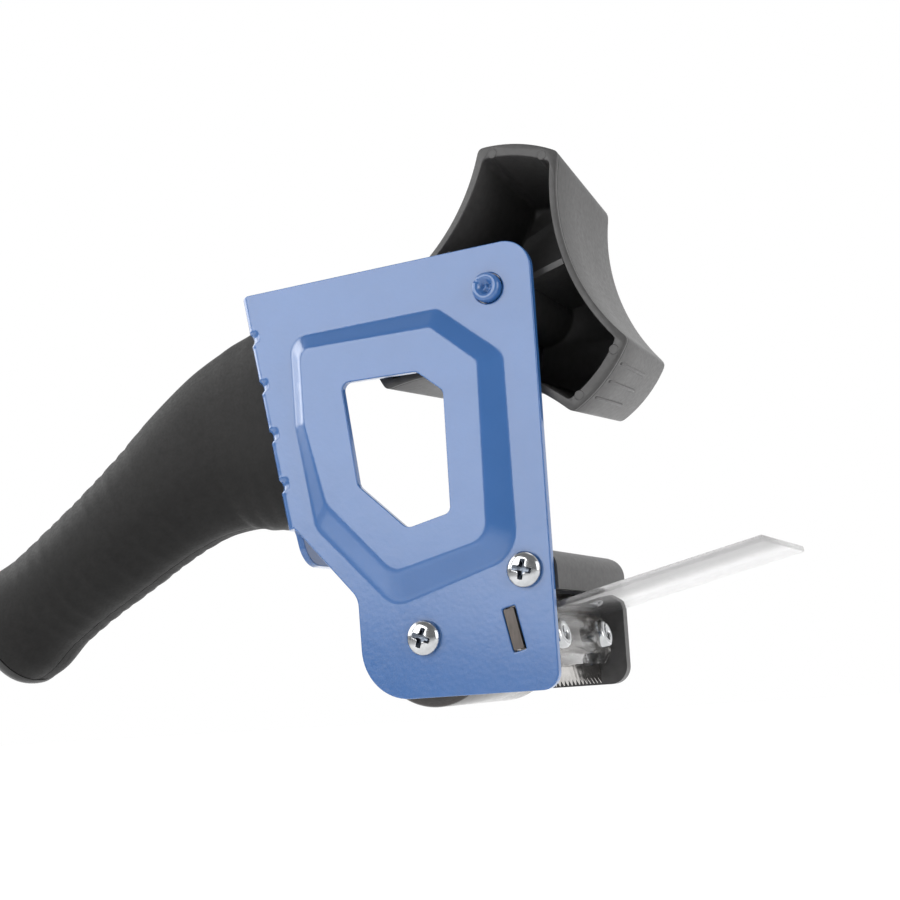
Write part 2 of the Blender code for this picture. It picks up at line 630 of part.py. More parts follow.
BLADE_TIP_T = 15.5
BLADE_ROOT_T = 13.9
teeth = 16
blade_pts = []
y0, y1 = 4.4, 49.4
blade_bm = bmesh.new()
prof = [(y0, 1.6), (y1, 1.6)]
pitch = (y1 - y0) / teeth
tooth_line = []
for k in range(teeth):
    tooth_line.append((y1 - k * pitch, BLADE_ROOT_T))
    tooth_line.append((y1 - (k + 0.5) * pitch, BLADE_TIP_T))
tooth_line.append((y0, BLADE_ROOT_T))
loop = [(y0, -1.6), (y1, -1.6)] + tooth_line
low, high = [], []
for y, t in loop:
    x, z = tilted(1.1, t)
    low.append(blade_bm.verts.new((x, y, z)))
    x, z = tilted(1.6, t)
    high.append(blade_bm.verts.new((x, y, z)))
bridge(blade_bm, low, high)
blade_bm.faces.new(low)
blade_bm.faces.new(high)
blade = finish("serrated_blade", blade_bm, STEEL)
for i, y in enumerate(SCREW_YS):
    boolean(blade, across(2.0, y, -1.0, 3.0), 'DIFFERENCE', "screw_hole_%d" % i)

LEG_N0, LEG_N1 = 1.9, 5.85
FLAP_TOP_T = -3.8
HINGE_N, HINGE_T = 6.05, FLAP_TOP_T + FLAP_T / 2
leg = finish("flap_leg", leaning(rounded([(LEG_N0, FLAP_TOP_T, 1.2), (LEG_N1, FLAP_TOP_T), (LEG_N1, 8.2),
                                          (LEG_N1 - 2.3, 10.5), (LEG_N0, 10.5)], steps=4), FLAP_Y0, FLAP_Y1), CLEAR)
for i, y in enumerate(SCREW_YS):
    boolean(leg, across(1.9, y, 0.0, 8.0), 'DIFFERENCE', "screw_hole_%d" % i)
hx, hz = tilted(HINGE_N, HINGE_T)
tongue = finish("flap_tongue", leaning([(HINGE_N + 0.25, FLAP_TOP_T), (FLAP_TIP_N, FLAP_TOP_T),
                                        (FLAP_TIP_N, FLAP_TOP_T + FLAP_T), (HINGE_N + 0.25, FLAP_TOP_T + FLAP_T)],
                                       FLAP_Y0, FLAP_Y1), CLEAR, origin=(hx, 0, hz))

for i, y in enumerate(SCREW_YS):
    tag = ("near", "far")[i]
    m = across_matrix(y)
    head = turned([(0, 7.6), (1.3, 7.6), (1.9, 9.0), (3.0, 9.0), (3.9, 8.2), (3.9, 6.1), (1.6, 6.1), (1.6, -4.6), (0, -4.6)], 0, 0, 28)
    ob = finish("flap_screw_" + tag, place(head, m), ZINC, smooth=35)
    nut = hex_nut(1.75, 3.7, -3.8, -1.1)
    finish("flap_nut_" + tag, place(nut, m), ZINC)

# ---------------------------------------------------------------- handle
# stations along the handle: distance from flange, sag, half width (Y), half height
STATIONS = [(0.4, 0.0, 17.5, 31.0, 3.2), (4.0, 0.2, 17.3, 30.8, 3.0), (10.0, 0.6, 16.6, 30.2, 2.7), (18.0, 0.9, 15.6, 28.8, 2.5),
            (28.0, 0.3, 14.8, 26.4, 2.35), (42.0, -3.0, 14.8, 23.0, 2.3), (58.0, -9.0, 15.4, 20.0, 2.3),
            (74.0, -15.4, 15.8, 18.4, 2.3), (90.0, -21.2, 15.4, 17.4, 2.3), (104.0, -26.6, 15.0, 17.2, 2.3),
            (114.0, -30.6, 15.4, 18.6, 2.4), (120.0, -33.0, 15.0, 18.2, 2.4)]
HANDLE_S = 34.0                    # where the handle's axis meets the flange


def station_frame(i):
    a = STATIONS[max(i - 1, 0)]
    b = STATIONS[min(i + 1, len(STATIONS) - 1)]
    d = Vector((b[0] - a[0], 0.0, b[1] - a[1])).normalized()
    if i == 0:
        d = Vector((1, 0, 0))
    up = Vector((-d.z, 0.0, d.x))
    return d, up


def handle_ring(i, shrink, sides=(0.0, 2 * math.pi), n=28, keep=None):
    x, z, hw, hh, power = STATIONS[i]
    d, up = station_frame(i)
    pts = []
    for k in range(n):
        t = 2 * math.pi * k / n
        c, s = math.cos(t), math.sin(t)
        y = (hw - shrink) * math.copysign(abs(c) ** (2 / power), c)
        v = (hh - shrink) * math.copysign(abs(s) ** (2 / power), s)
        pts.append(Vector((x, 0, z)) + Vector((0, y, 0)) + up * v)
    return pts


def half_shell(side, i0=0, i1=None, shrink=0.0, wall=2.6, n=22):
    """One moulded half of the handle: an open trough with a real wall, cut at the middle plane."""
    i1 = len(STATIONS) - 1 if i1 is None else i1
    bm = bmesh.new()
    rings = []
    for i in range(i0, i1 + 1):
        x, z, hw, hh, power = STATIONS[i]
        d, up = station_frame(i)
        outer, inner = [], []
        m = n // 2
        for k in range(m + 1):
            t = -math.pi / 2 + math.pi * k / m
            c, s = math.cos(t), math.sin(t)
            y = (hw - shrink) * abs(c) ** (2 / power)
            v = (hh - shrink) * math.copysign(abs(s) ** (2 / power), s)
            yi = max((hw - shrink - wall) * abs(c) ** (2 / power), 0.0)
            vi = (hh - shrink - wall) * math.copysign(abs(s) ** (2 / power), s)
            outer.append(Vector((x, side * (max(y, 0) + 0.15), z)) + up * v)
            inner.append(Vector((x, side * (yi + 0.15), z)) + up * vi)
        rings.append([bm.verts.new(p) for p in outer] + [bm.verts.new(p) for p in inner[::-1]])
    for a, b in zip(rings, rings[1:]):
        bridge(bm, a, b)
    for ring in (rings[0], rings[-1]):
        # end faces as quads between the outer and inner lines
        half = len(ring) // 2
        for k in range(half - 1):
            bm.faces.new((ring[k], ring[k + 1], ring[-2 - k], ring[-1 - k]))
    return bm


HM = rear_matrix(HANDLE_S, 0.0)
left = finish("handle_shell_far", place(half_shell(-1), HM), BLACK, smooth=40)
right = finish("handle_shell_near", place(half_shell(1), HM), BLACK, smooth=40)

# steel tang: foot plate against the flange and a strap down the middle of the handle
tang = finish("handle_tang", place(box(0.35, 2.85, -10.5, 10.5, -22.0, 22.0), HM), STEEL)
strap = prism([(2.0, -6.0), (20.0, -8.5), (50.0, -14.0), (88.0, -26.5), (88.0, -14.5), (50.0, -2.5), (20.0, 4.0), (2.0, 7.0)], -2.0, 2.0)
boolean(tang, place(strap, HM), 'UNION', "strap")
for k, s in enumerate(BOLT_S):
    v = HANDLE_S - s
    hole = turned([(2.7, -3), (2.7, 9), (0, 9), (0, -3)], 0, 0, 20)
    place(hole, HM @ Matrix.Translation((0, 0, v)) @ Matrix.Rotation(-math.pi / 2, 4, 'Z'))
    boolean(tang, hole, 'DIFFERENCE', "bolt_hole_%d" % k)

for k, s in enumerate(BOLT_S):
    v = HANDLE_S - s
    tag = ("upper", "lower")[k]
    m = HM @ Matrix.Translation((0, 0, v)) @ Matrix.Rotation(-math.pi / 2, 4, 'Z')
    # drawn about Y: +Y leaves the flange rearwards
    bolt = turned([(0, -6.4), (3.6, -6.4), (4.4, -5.4), (4.4, -3.6), (2.45, -3.6), (2.45, 7.2), (0, 7.2)], 0, 0, 24)
    finish("handle_bolt_" + tag, place(bolt, m), ZINC, smooth=35)
    washer = turned([(2.55, -2.25), (5.4, -2.25), (5.4, -3.3), (2.55, -3.3)], 0, 0, 24)
    finish("handle_washer_" + tag, place(washer, m), ZINC, smooth=35)
    nut = hex_nut(2.6, 4.7, 3.15, 6.6)
    finish("handle_nut_" + tag, place(nut, m), ZINC)

# handle screws that pull the two shells onto the strap
SHELL_SCREWS = [(33.0, -5.2), (78.0, -17.4)]
for k, (x, z) in enumerate(SHELL_SCREWS):
    tag = ("front", "rear")[k]
    m = HM @ Matrix.Translation((x, 0, z))
    stepped = turned([(3.5, -30), (3.5, -12.9), (1.75, -12.9), (1.75, 6), (0, 6), (0, -30)], 0, 0, 20, 0.07)
    boolean(left, place(stepped, m.copy()), 'DIFFERENCE', "screw_seat_%s" % tag)
    for ob, reach in ((right, 13.6), (tang, 30.0)):
        hole = turned([(1.75, -30), (1.75, reach), (0, reach), (0, -30)], 0, 0, 20, 0.07)
        boolean(ob, place(hole, m.copy()), 'DIFFERENCE', "screw_%s" % tag)
    scr = turned([(0, -14.5), (2.2, -14.5), (3.1, -14.0), (3.1, -13.2), (1.55, -13.1), (1.55, 13.2), (0, 13.2)], 0, 0, 20)
    finish("shell_screw_" + tag, place(scr, m.copy()), ZINC, smooth=35)

# butt cap closes the end of the handle
cap = bmesh.new()
ringset = []
last = len(STATIONS) - 1
d, up = station_frame(last)


def cap_ring(dist, shrink, n=28):
    x, z, hw, hh, power = STATIONS[last]
    c0 = Vector((x, 0, z)) + d * dist
    pts = []
    for k in range(n):
        t = 2 * math.pi * k / n
        c, s = math.cos(t), math.sin(t)
        y = (hw - shrink) * math.copysign(abs(c) ** (2 / power), c)
        v = (hh - shrink) * math.copysign(abs(s) ** (2 / power), s)
        pts.append(c0 + Vector((0, y, 0)) + up * v)
    return [cap.verts.new(p) for p in pts]


for dist, shrink in ((-6.0, 3.1), (0.3, 3.1), (0.35, 0.0), (2.2, 0.2), (4.2, 1.6), (5.4, 4.6)):
    ringset.append(cap_ring(dist, shrink))
for a, b in zip(ringset, ringset[1:]):
    bridge(cap, a, b)
cap.faces.new(ringset[0])
cap.faces.new(ringset[-1])
finish("butt_cap", place(cap, HM), BLACKHARD, smooth=40)

# ---------------------------------------------------------------- report of extents
bpy.context.view_layer.update()
dg = bpy.context.evaluated_depsgraph_get()
lo = [1e9] * 3
hi = [-1e9] * 3
for ob in parts_col.objects:
    if ob.type != 'MESH':
        continue
    ev = ob.evaluated_get(dg)
    me = ev.to_mesh()
    for v in me.vertices:
        w = ob.matrix_world @ v.co
        for i in range(3):
            lo[i] = min(lo[i], w[i])
            hi[i] = max(hi[i], w[i])
    ev.to_mesh_clear()
print("extent mm", [round(v * 1000, 2) for v in lo], [round(v * 1000, 2) for v in hi])
hinge = root.location + Vector((hx, 0, hz)) * MM
print("flap hinge m", [round(v, 5) for v in hinge])
for sx in (62.0, 30.0):
    px, pz = on_rear(sx, 0.0)
    print("flange face m", sx, [round(v, 5) for v in root.location + Vector((px, 20.0, pz)) * MM], "normal", [round(rear_out.x, 4), 0, round(rear_out.y, 4)])
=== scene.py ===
"""Looks of the tape gun dispenser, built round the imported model."""
import math
import bpy
import bmesh
from mathutils import Vector, Matrix

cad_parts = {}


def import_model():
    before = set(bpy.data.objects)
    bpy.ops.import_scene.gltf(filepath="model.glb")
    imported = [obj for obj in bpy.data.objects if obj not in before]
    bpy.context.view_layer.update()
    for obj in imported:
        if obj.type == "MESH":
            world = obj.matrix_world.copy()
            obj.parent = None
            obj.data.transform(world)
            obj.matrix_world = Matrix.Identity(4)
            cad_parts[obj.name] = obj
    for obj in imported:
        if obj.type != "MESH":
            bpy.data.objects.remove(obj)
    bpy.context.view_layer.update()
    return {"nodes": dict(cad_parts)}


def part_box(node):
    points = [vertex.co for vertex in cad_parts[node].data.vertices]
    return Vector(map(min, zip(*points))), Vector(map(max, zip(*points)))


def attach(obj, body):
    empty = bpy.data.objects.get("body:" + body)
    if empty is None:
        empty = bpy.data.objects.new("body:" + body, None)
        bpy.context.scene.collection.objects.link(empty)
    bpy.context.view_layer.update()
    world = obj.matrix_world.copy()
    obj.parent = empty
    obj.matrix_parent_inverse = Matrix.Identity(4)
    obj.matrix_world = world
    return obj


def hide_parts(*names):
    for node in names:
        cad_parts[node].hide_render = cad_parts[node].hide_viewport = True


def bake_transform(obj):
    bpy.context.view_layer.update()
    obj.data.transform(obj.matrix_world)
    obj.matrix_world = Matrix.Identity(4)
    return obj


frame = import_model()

scene = bpy.context.scene
col = bpy.data.collections.new("looks")
scene.collection.children.link(col)

# ---------------------------------------------------------------- where the model sits
# Pieces are drawn in millimetres about the hub axis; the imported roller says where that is.
_lo, _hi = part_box("roller_sleeve")
OFF = Vector(((_lo.x + _hi.x) * 500.0 + 25.0, _lo.y * 1000.0 - 4.0, (_lo.z + _hi.z) * 500.0 + 88.3))

PLATE_T, PLATE_TOP, PLATE_BOTTOM = 2.0, 11.8, -103.5
EMBOSS_H, BEND_R, FLANGE_DEPTH, FLANGE_DROP = 3.0, 2.6, 44.0, -66.0
ROLLER_X, ROLLER_Z, ROLLER_R, ROLLER_CORE_R = -25.0, -88.3, 17.8, 12.0
ROLLER_Y0, ROLLER_Y1 = 4.0, 50.0
HUB_Y0, HUB_Y1, HUB_ANGLE, HUB_HALF, HUB_HALF_INNER = 3.9, 50.5, 75.1, 17.0, 15.3
HUB_R_CROWN, HUB_R_INNER, HUB_R_WAIST, HUB_R_WAIST_INNER = 39.9, 36.5, 22.1, 20.2
HUB_CROWN_DRAFT, HUB_WAIST_DRAFT, HUB_WEB_Y = 4.6, 1.9, 40.0
TILT = math.radians(11.8)
HEAD_X, HEAD_Z, TIE_X, TIE_Z = 0.1, -88.0, 4.2, -73.6
HEAD_FRONT, HEAD_TOP, DECK_BACK, WALL_Y0, WALL_Y1 = 12.0, -68.5, -3.0, 50.4, 53.6
FLAP_T, FLAP_Y0, FLAP_Y1, FLAP_TIP_N = 1.6, 4.0, 49.8, 65.2
SCREW_T, SCREW_YS = 3.3, (11.0, 42.5)
HANDLE_Y, HANDLE_S, BOLT_S = 24.5, 34.0, (20.0, 50.0)


def world(p):
    return Vector(((p[0] + OFF.x) / 1000.0, (p[1] + OFF.y) / 1000.0, (p[2] + OFF.z) / 1000.0))


# ---------------------------------------------------------------- materials
def socket(shader, name, value):
    shader.inputs[name].default_value = value


def surface(name, dark, light, rough, metallic=0.0, tone_scale=300.0, tone_detail=3.0, grain=(), rough_scale=500.0,
            coat=0.0, coat_rough=0.05, ior=1.5, transmission=0.0, stretch=None, wear=None, specular=0.5,
            sheen=0.0, anisotropic=0.0):
    """Principled surface whose tone, roughness and relief all come from object-space noise."""
    mat = bpy.data.materials.new(name)
    mat.use_nodes = True
    nt = mat.node_tree
    nt.nodes.clear()
    out = nt.nodes.new("ShaderNodeOutputMaterial")
    sh = nt.nodes.new("ShaderNodeBsdfPrincipled")
    nt.links.new(sh.outputs[0], out.inputs["Surface"])
    co = nt.nodes.new("ShaderNodeTexCoord")
    vec = co.outputs["Object"]
    if stretch:
        mp = nt.nodes.new("ShaderNodeMapping")
        mp.inputs["Scale"].default_value = stretch
        nt.links.new(vec, mp.inputs["Vector"])
        vec = mp.outputs["Vector"]

    def noise(scale, detail=3.0, v=vec, roughness=0.5):
        n = nt.nodes.new("ShaderNodeTexNoise")
        n.inputs["Scale"].default_value = scale
        n.inputs["Detail"].default_value = detail
        n.inputs["Roughness"].default_value = roughness
        nt.links.new(v, n.inputs["Vector"])
        return n.outputs["Fac"]

    def remap(v, lo, hi, a=0.3, b=0.7):
        m = nt.nodes.new("ShaderNodeMapRange")
        m.inputs["From Min"].default_value = a
        m.inputs["From Max"].default_value = b
        m.inputs["To Min"].default_value = lo
        m.inputs["To Max"].default_value = hi
        nt.links.new(v, m.inputs["Value"])
        return m.outputs["Result"]

    mix = nt.nodes.new("ShaderNodeMix")
    mix.data_type = 'RGBA'
    mix.inputs[6].default_value = (*dark, 1.0)
    mix.inputs[7].default_value = (*light, 1.0)
    nt.links.new(remap(noise(tone_scale, tone_detail), 0.0, 1.0), mix.inputs[0])
    colour = mix.outputs[2]
    if wear:
        wcol, amount = wear
        geo = nt.nodes.new("ShaderNodeNewGeometry")
        edge = remap(geo.outputs["Pointiness"], 0.0, amount, 0.54, 0.62)
        broken = nt.nodes.new("ShaderNodeMath")
        broken.operation = 'MULTIPLY'
        nt.links.new(edge, broken.inputs[0])
        nt.links.new(remap(noise(900.0, 4.0), 0.0, 1.0, 0.42, 0.58), broken.inputs[1])
        m2 = nt.nodes.new("ShaderNodeMix")
        m2.data_type = 'RGBA'
        m2.inputs[7].default_value = (*wcol, 1.0)
        nt.links.new(colour, m2.inputs[6])
        nt.links.new(broken.outputs[0], m2.inputs[0])
        colour = m2.outputs[2]
    nt.links.new(colour, sh.inputs["Base Color"])
    nt.links.new(remap(noise(rough_scale, 3.0), rough[0], rough[1]), sh.inputs["Roughness"])
    normal = None
    for scale, dist, detail in grain:
        b = nt.nodes.new("ShaderNodeBump")
        b.inputs["Strength"].default_value = 1.0
        b.inputs["Distance"].default_value = dist
        nt.links.new(noise(scale, detail), b.inputs["Height"])
        if normal:
            nt.links.new(normal, b.inputs["Normal"])
        normal = b.outputs["Normal"]
    if normal:
        nt.links.new(normal, sh.inputs["Normal"])
    socket(sh, "Metallic", metallic)
    socket(sh, "IOR", ior)
    socket(sh, "Coat Weight", coat)
    socket(sh, "Coat Roughness", coat_rough)
    socket(sh, "Transmission Weight", transmission)
    socket(sh, "Specular IOR Level", specular)
    socket(sh, "Sheen Weight", sheen)
    socket(sh, "Anisotropic", anisotropic)
    return mat


BLUE = surface("blue_enamel", (0.030, 0.108, 0.300), (0.036, 0.120, 0.326), (0.19, 0.25), tone_scale=60.0,
               grain=((820.0, 0.00004, 2.0), (300.0, 0.00003, 1.0)), rough_scale=300.0, coat=0.78, coat_rough=0.15)
GREY = surface("satin_grey_plastic", (0.040, 0.039, 0.039), (0.052, 0.051, 0.051), (0.38, 0.47), tone_scale=500.0,
               grain=((5200.0, 0.000010, 2.0), (700.0, 0.000010, 2.0)), rough_scale=900.0)
ZINC = surface("bright_zinc", (0.47, 0.48, 0.49), (0.55, 0.56, 0.57), (0.12, 0.18), metallic=1.0, tone_scale=900.0,
               grain=((1400.0, 0.000002, 2.0),), rough_scale=900.0)
# darker copy of the zinc: painted shade inside the screws' cross recess
RECESS_PAINTED_SHADE = surface("zinc_recess_painted_shade", (0.085, 0.100, 0.125), (0.15, 0.17, 0.20), (0.20, 0.30), metallic=1.0, tone_scale=1500.0,
                 grain=((1400.0, 0.000002, 2.0),), rough_scale=900.0)
STEEL = surface("brushed_steel", (0.42, 0.39, 0.36), (0.52, 0.49, 0.46), (0.26, 0.36), metallic=1.0, tone_scale=30.0,
                tone_detail=4.0, grain=((45.0, 0.000002, 3.0),), rough_scale=60.0, stretch=(14.0, 1.0, 40.0))
# much darker copy of the bracket steel: painted shade on the tab where it sits in the plate slot
TAB_STEEL_PAINTED_SHADE = surface("tab_steel_painted_shade", (0.075, 0.066, 0.060), (0.115, 0.102, 0.094), (0.30, 0.42), metallic=0.85, tone_scale=30.0,
                   tone_detail=4.0, grain=((40.0, 0.000003, 3.0),), rough_scale=60.0, stretch=(50.0, 8.0, 10.0))
CLEAR = surface("clear_acrylic", (0.590, 0.590, 0.594), (0.625, 0.625, 0.629), (0.0, 0.025), ior=1.49, transmission=1.0,
                tone_scale=40.0, grain=((120.0, 0.000002, 1.0),), rough_scale=700.0)
# greyer, less clear copy of the same acrylic for the tongue: painted shade
TONGUE_PAINTED_SHADE = surface("clear_acrylic_tongue_painted_shade", (0.385, 0.380, 0.383), (0.420, 0.415, 0.418), (0.04, 0.09), ior=1.49, transmission=0.80,
                 tone_scale=40.0, grain=((120.0, 0.000002, 1.0),), rough_scale=700.0)
for _n in TONGUE_PAINTED_SHADE.node_tree.nodes:
    if _n.type == 'BSDF_PRINCIPLED':
        _n.inputs["Alpha"].default_value = 0.84
for _n in CLEAR.node_tree.nodes:
    if _n.type == 'BSDF_PRINCIPLED':
        _n.inputs["Alpha"].default_value = 0.62
# black rubber, its base made darker still as painted shade over the grip
GRIP_WITH_PAINTED_SHADE = surface("black_grip_rubber_painted_shade", (0.0045, 0.0043, 0.0042), (0.0075, 0.0072, 0.0070), (0.50, 0.62), tone_scale=350.0,
               grain=((3200.0, 0.00001, 2.0), (900.0, 0.00001, 2.0)), rough_scale=1200.0, specular=0.22)
BLACK = surface("black_moulded_plastic", (0.012, 0.012, 0.012), (0.018, 0.018, 0.018), (0.32, 0.44), tone_scale=600.0,
                grain=((4200.0, 0.00001, 2.0),), rough_scale=900.0)
RUBBER = surface("roller_rubber_finish", (0.024, 0.020, 0.019), (0.033, 0.028, 0.026), (0.15, 0.24), tone_scale=500.0,
                 grain=((1600.0, 0.000008, 3.0),), rough_scale=700.0)
NYLON = surface("natural_nylon", (0.62, 0.60, 0.54), (0.74, 0.72, 0.66), (0.36, 0.48), tone_scale=400.0,
                grain=((2500.0, 0.00001, 2.0),))
BRASS = surface("turned_brass", (0.60, 0.42, 0.17), (0.72, 0.54, 0.25), (0.22, 0.34), metallic=1.0, tone_scale=700.0,
                grain=((1500.0, 0.000008, 3.0),))
FELT = surface("felt_friction_pad", (0.13, 0.12, 0.115), (0.24, 0.23, 0.215), (0.86, 0.98), tone_scale=2400.0,
               grain=((3500.0, 0.00012, 4.0),), sheen=0.3)
DARKPLASTIC = surface("gloss_dark_plastic", (0.022, 0.022, 0.022), (0.030, 0.030, 0.030), (0.20, 0.28), tone_scale=500.0,
                      grain=((900.0, 0.000012, 2.0),), rough_scale=700.0)

FINISH = {"blue_paint": BLUE, "grey_plastic": GREY, "zinc_steel": ZINC, "bare_steel": STEEL, "clear_plastic": CLEAR,
          "black_grip": GRIP_WITH_PAINTED_SHADE, "black_plastic": BLACK, "roller_rubber": RUBBER, "nylon_bush": NYLON, "brass": BRASS,
          "felt": FELT}


# ---------------------------------------------------------------- mesh helpers
def rounded(points, default=0.0, steps=10):
    """Polygon with its corners turned into arcs. A point is (x, z) or (x, z, radius)."""
    out = []
    n = len(points)
    for i in range(n):
        p = Vector(points[i][:2])
        r = points[i][2] if len(points[i]) > 2 else default
        a = Vector(points[i - 1][:2]) - p
        b = Vector(points[(i + 1) % n][:2]) - p
        la, lb = a.length, b.length
        a.normalize()
        b.normalize()
        ang = a.angle(b)
        if r <= 0.0 or abs(ang - math.pi) < 1e-3:
            out.append((p.x, p.y))
            continue
        d = min(r / math.tan(ang / 2), 0.49 * la, 0.49 * lb)
        r = d * math.tan(ang / 2)
        centre = p + (a + b).normalized() * (r / math.sin(ang / 2))
        s = (p + a * d) - centre
        e = (p + b * d) - centre
        t0 = math.atan2(s.y, s.x)
        dt = math.atan2(e.y, e.x) - t0
        while dt > math.pi:
            dt -= 2 * math.pi
        while dt < -math.pi:
            dt += 2 * math.pi
        for k in range(steps + 1):
            t = t0 + dt * k / steps
            out.append((centre.x + r * math.cos(t), centre.y + r * math.sin(t)))
    return out


def tidy(pts, closed=False, least=0.03):
    """Drops points that sit on the one before."""
    out = []
    for p in pts:
        if not out or (Vector(p[:2]) - Vector(out[-1][:2])).length > least:
            out.append((p[0], p[1]))
    if closed and (Vector(out[0]) - Vector(out[-1])).length <= least:
        out.pop()
    return out


def _miter(a, b, c, d):
    u, v = (Vector(b) - Vector(a)).normalized(), (Vector(c) - Vector(b)).normalized()
    n1, n2 = Vector((u.y, -u.x)), Vector((v.y, -v.x))
    m = n1 + n2
    if m.length < 1e-6:
        m = n1
    m.normalize()
    q = Vector(b) + m * (d / max(0.35, m.dot(n1)))
    return (q.x, q.y)


def miter(pts, d, side):
    """Inner points of an open line moved sideways by d: side 1 right of travel, -1 left."""
    return [_miter(pts[i - 1], pts[i], pts[i + 1], d * side) for i in range(1, len(pts) - 1)]


def miter_ring(pts, d):
    """Closed outline grown outwards by d."""
    n = len(pts)
    area2 = sum(pts[i][0] * pts[(i + 1) % n][1] - pts[(i + 1) % n][0] * pts[i][1] for i in range(n))
    k = 1 if area2 > 0 else -1
    return [_miter(pts[i - 1], pts[i], pts[(i + 1) % n], d * k) for i in range(n)]


def circle(cx, cz, r, n=48, start=0.0):
    return [(cx + r * math.cos(start + 2 * math.pi * k / n), cz + r * math.sin(start + 2 * math.pi * k / n))
            for k in range(n)]


def loop_verts(bm, pts, y):
    return [bm.verts.new((x, y, z)) for x, z in pts]


def loop_edges(bm, verts):
    return [bm.edges.get((verts[i], verts[(i + 1) % len(verts)])) or
            bm.edges.new((verts[i], verts[(i + 1) % len(verts)])) for i in range(len(verts))]


def bridge(bm, a, b):
    n = len(a)
    for i in range(n):
        j = (i + 1) % n
        bm.faces.new((a[i], a[j], b[j], b[i]))


def prism(outline, y0, y1, holes=()):
    bm = bmesh.new()
    rings = [outline] + list(holes)
    low = [loop_verts(bm, r, y0) for r in rings]
    high = [loop_verts(bm, r, y1) for r in rings]
    for a, b in zip(low, high):
        bridge(bm, a, b)
    for side in (low, high):
        if len(rings) == 1:
            bm.faces.new(side[0])
        else:
            edges = []
            for ring in side:
                for i in range(len(ring)):
                    edges.append(bm.edges.get((ring[i], ring[(i + 1) % len(ring)])))
            bmesh.ops.triangle_fill(bm, use_beauty=True, edges=edges)
    return bm


def turned(profile, cx, cz, n=64, start=0.0, shape=None):
    """Solid of revolution about a Y axis. shape(radius, y, angle) may adjust a point."""
    bm = bmesh.new()
    rings = []
    for r, y in profile:
        if r <= 1e-6:
            rings.append([bm.verts.new((cx, y, cz))])
        else:
            ring = []
            for k in range(n):
                a = start + 2 * math.pi * k / n
                rr, yy = (r, y) if shape is None else shape(r, y, a)
                ring.append(bm.verts.new((cx + rr * math.cos(a), yy, cz + rr * math.sin(a))))
            rings.append(ring)
    m = len(rings)
    for i in range(m):
        a, b = rings[i], rings[(i + 1) % m]
        if len(a) == 1 and len(b) == 1:
            continue
        for k in range(n):
            j = (k + 1) % n
            if len(a) == 1:
                bm.faces.new((a[0], b[j], b[k]))
            elif len(b) == 1:
                bm.faces.new((a[k], a[j], b[0]))
            else:
                bm.faces.new((a[k], a[j], b[j], b[k]))
    return bm


def loft(rings, caps=True):
    bm = bmesh.new()
    vs = [loop_verts(bm, p, y) for p, y in rings]
    for a, b in zip(vs, vs[1:]):
        bridge(bm, a, b)
    if caps:
        bm.faces.new(vs[0])
        bm.faces.new(vs[-1])
    return bm


def place(bm, matrix):
    bmesh.ops.transform(bm, matrix=matrix, verts=bm.verts)
    return bm


def merge(*bms):
    out = bmesh.new()
    for b in bms:
        me = bpy.data.meshes.new("tmp")
        b.to_mesh(me)
        b.free()
        out.from_mesh(me)
        bpy.data.meshes.remove(me)
    return out


def box(x0, x1, y0, y1, z0, z1):
    return prism([(x0, z0), (x1, z0), (x1, z1), (x0, z1)], y0, y1)


def fillet(profile, radii, steps=5):
    """Rounds chosen corners of an open (r, y) profile. radii: {index: radius}."""
    out = []
    for i, p in enumerate(profile):
        if i not in radii or i == 0 or i == len(profile) - 1:
            out.append(p)
            continue
        v = Vector(p)
        a = Vector(profile[i - 1]) - v
        b = Vector(profile[i + 1]) - v
        la, lb = a.length, b.length
        a.normalize()
        b.normalize()
        ang = a.angle(b)
        if abs(ang - math.pi) < 1e-3:
            out.append(p)
            continue
        r = radii[i]
        d = min(r / math.tan(ang / 2), 0.48 * la, 0.48 * lb)
        r = d * math.tan(ang / 2)
        c = v + (a + b).normalized() * (r / math.sin(ang / 2))
        s, e = v + a * d - c, v + b * d - c
        t0 = math.atan2(s.y, s.x)
        dt = math.atan2(e.y, e.x) - t0
        while dt > math.pi:
            dt -= 2 * math.pi
        while dt < -math.pi:
            dt += 2 * math.pi
        for k in range(steps + 1):
            t = t0 + dt * k / steps
            out.append((c.x + r * math.cos(t), c.y + r * math.sin(t)))
    return out


def to_object(name, bm, mats, clean=True):
    if clean:
        bmesh.ops.remove_doubles(bm, verts=bm.verts, dist=1e-4)
        bmesh.ops.recalc_face_normals(bm, faces=bm.faces)
    bmesh.ops.translate(bm, verts=bm.verts, vec=OFF)
    bmesh.ops.scale(bm, verts=bm.verts, vec=(0.001, 0.001, 0.001))
    me = bpy.data.meshes.new(name)
    bm.to_mesh(me)
    bm.free()
    ob = bpy.data.objects.new(name, me)
    col.objects.link(ob)
    for m in (mats if isinstance(mats, (list, tuple)) else [mats]):
        me.materials.append(m)
    for p in me.polygons:
        p.use_smooth = True
    return ob


def freeze(ob):
    bpy.context.view_layer.update()
    dg = bpy.context.evaluated_depsgraph_get()
    me = bpy.data.meshes.new_from_object(ob.evaluated_get(dg), preserve_all_data_layers=True, depsgraph=dg)
    old = ob.data
    ob.modifiers.clear()
    ob.data = me
    me.name = ob.name
    bpy.data.meshes.remove(old)
    return ob


def cut(ob, bm, operation='DIFFERENCE'):
    tool = to_object("tool", bm, ob.data.materials[0])
    m = ob.modifiers.new("cut", 'BOOLEAN')
    m.operation = operation
    m.solver = 'EXACT'
    m.object = tool
    freeze(ob)
    me = tool.data
    bpy.data.objects.remove(tool, do_unlink=True)
    bpy.data.meshes.remove(me)
    for p in ob.data.polygons:
        p.use_smooth = True
    return ob


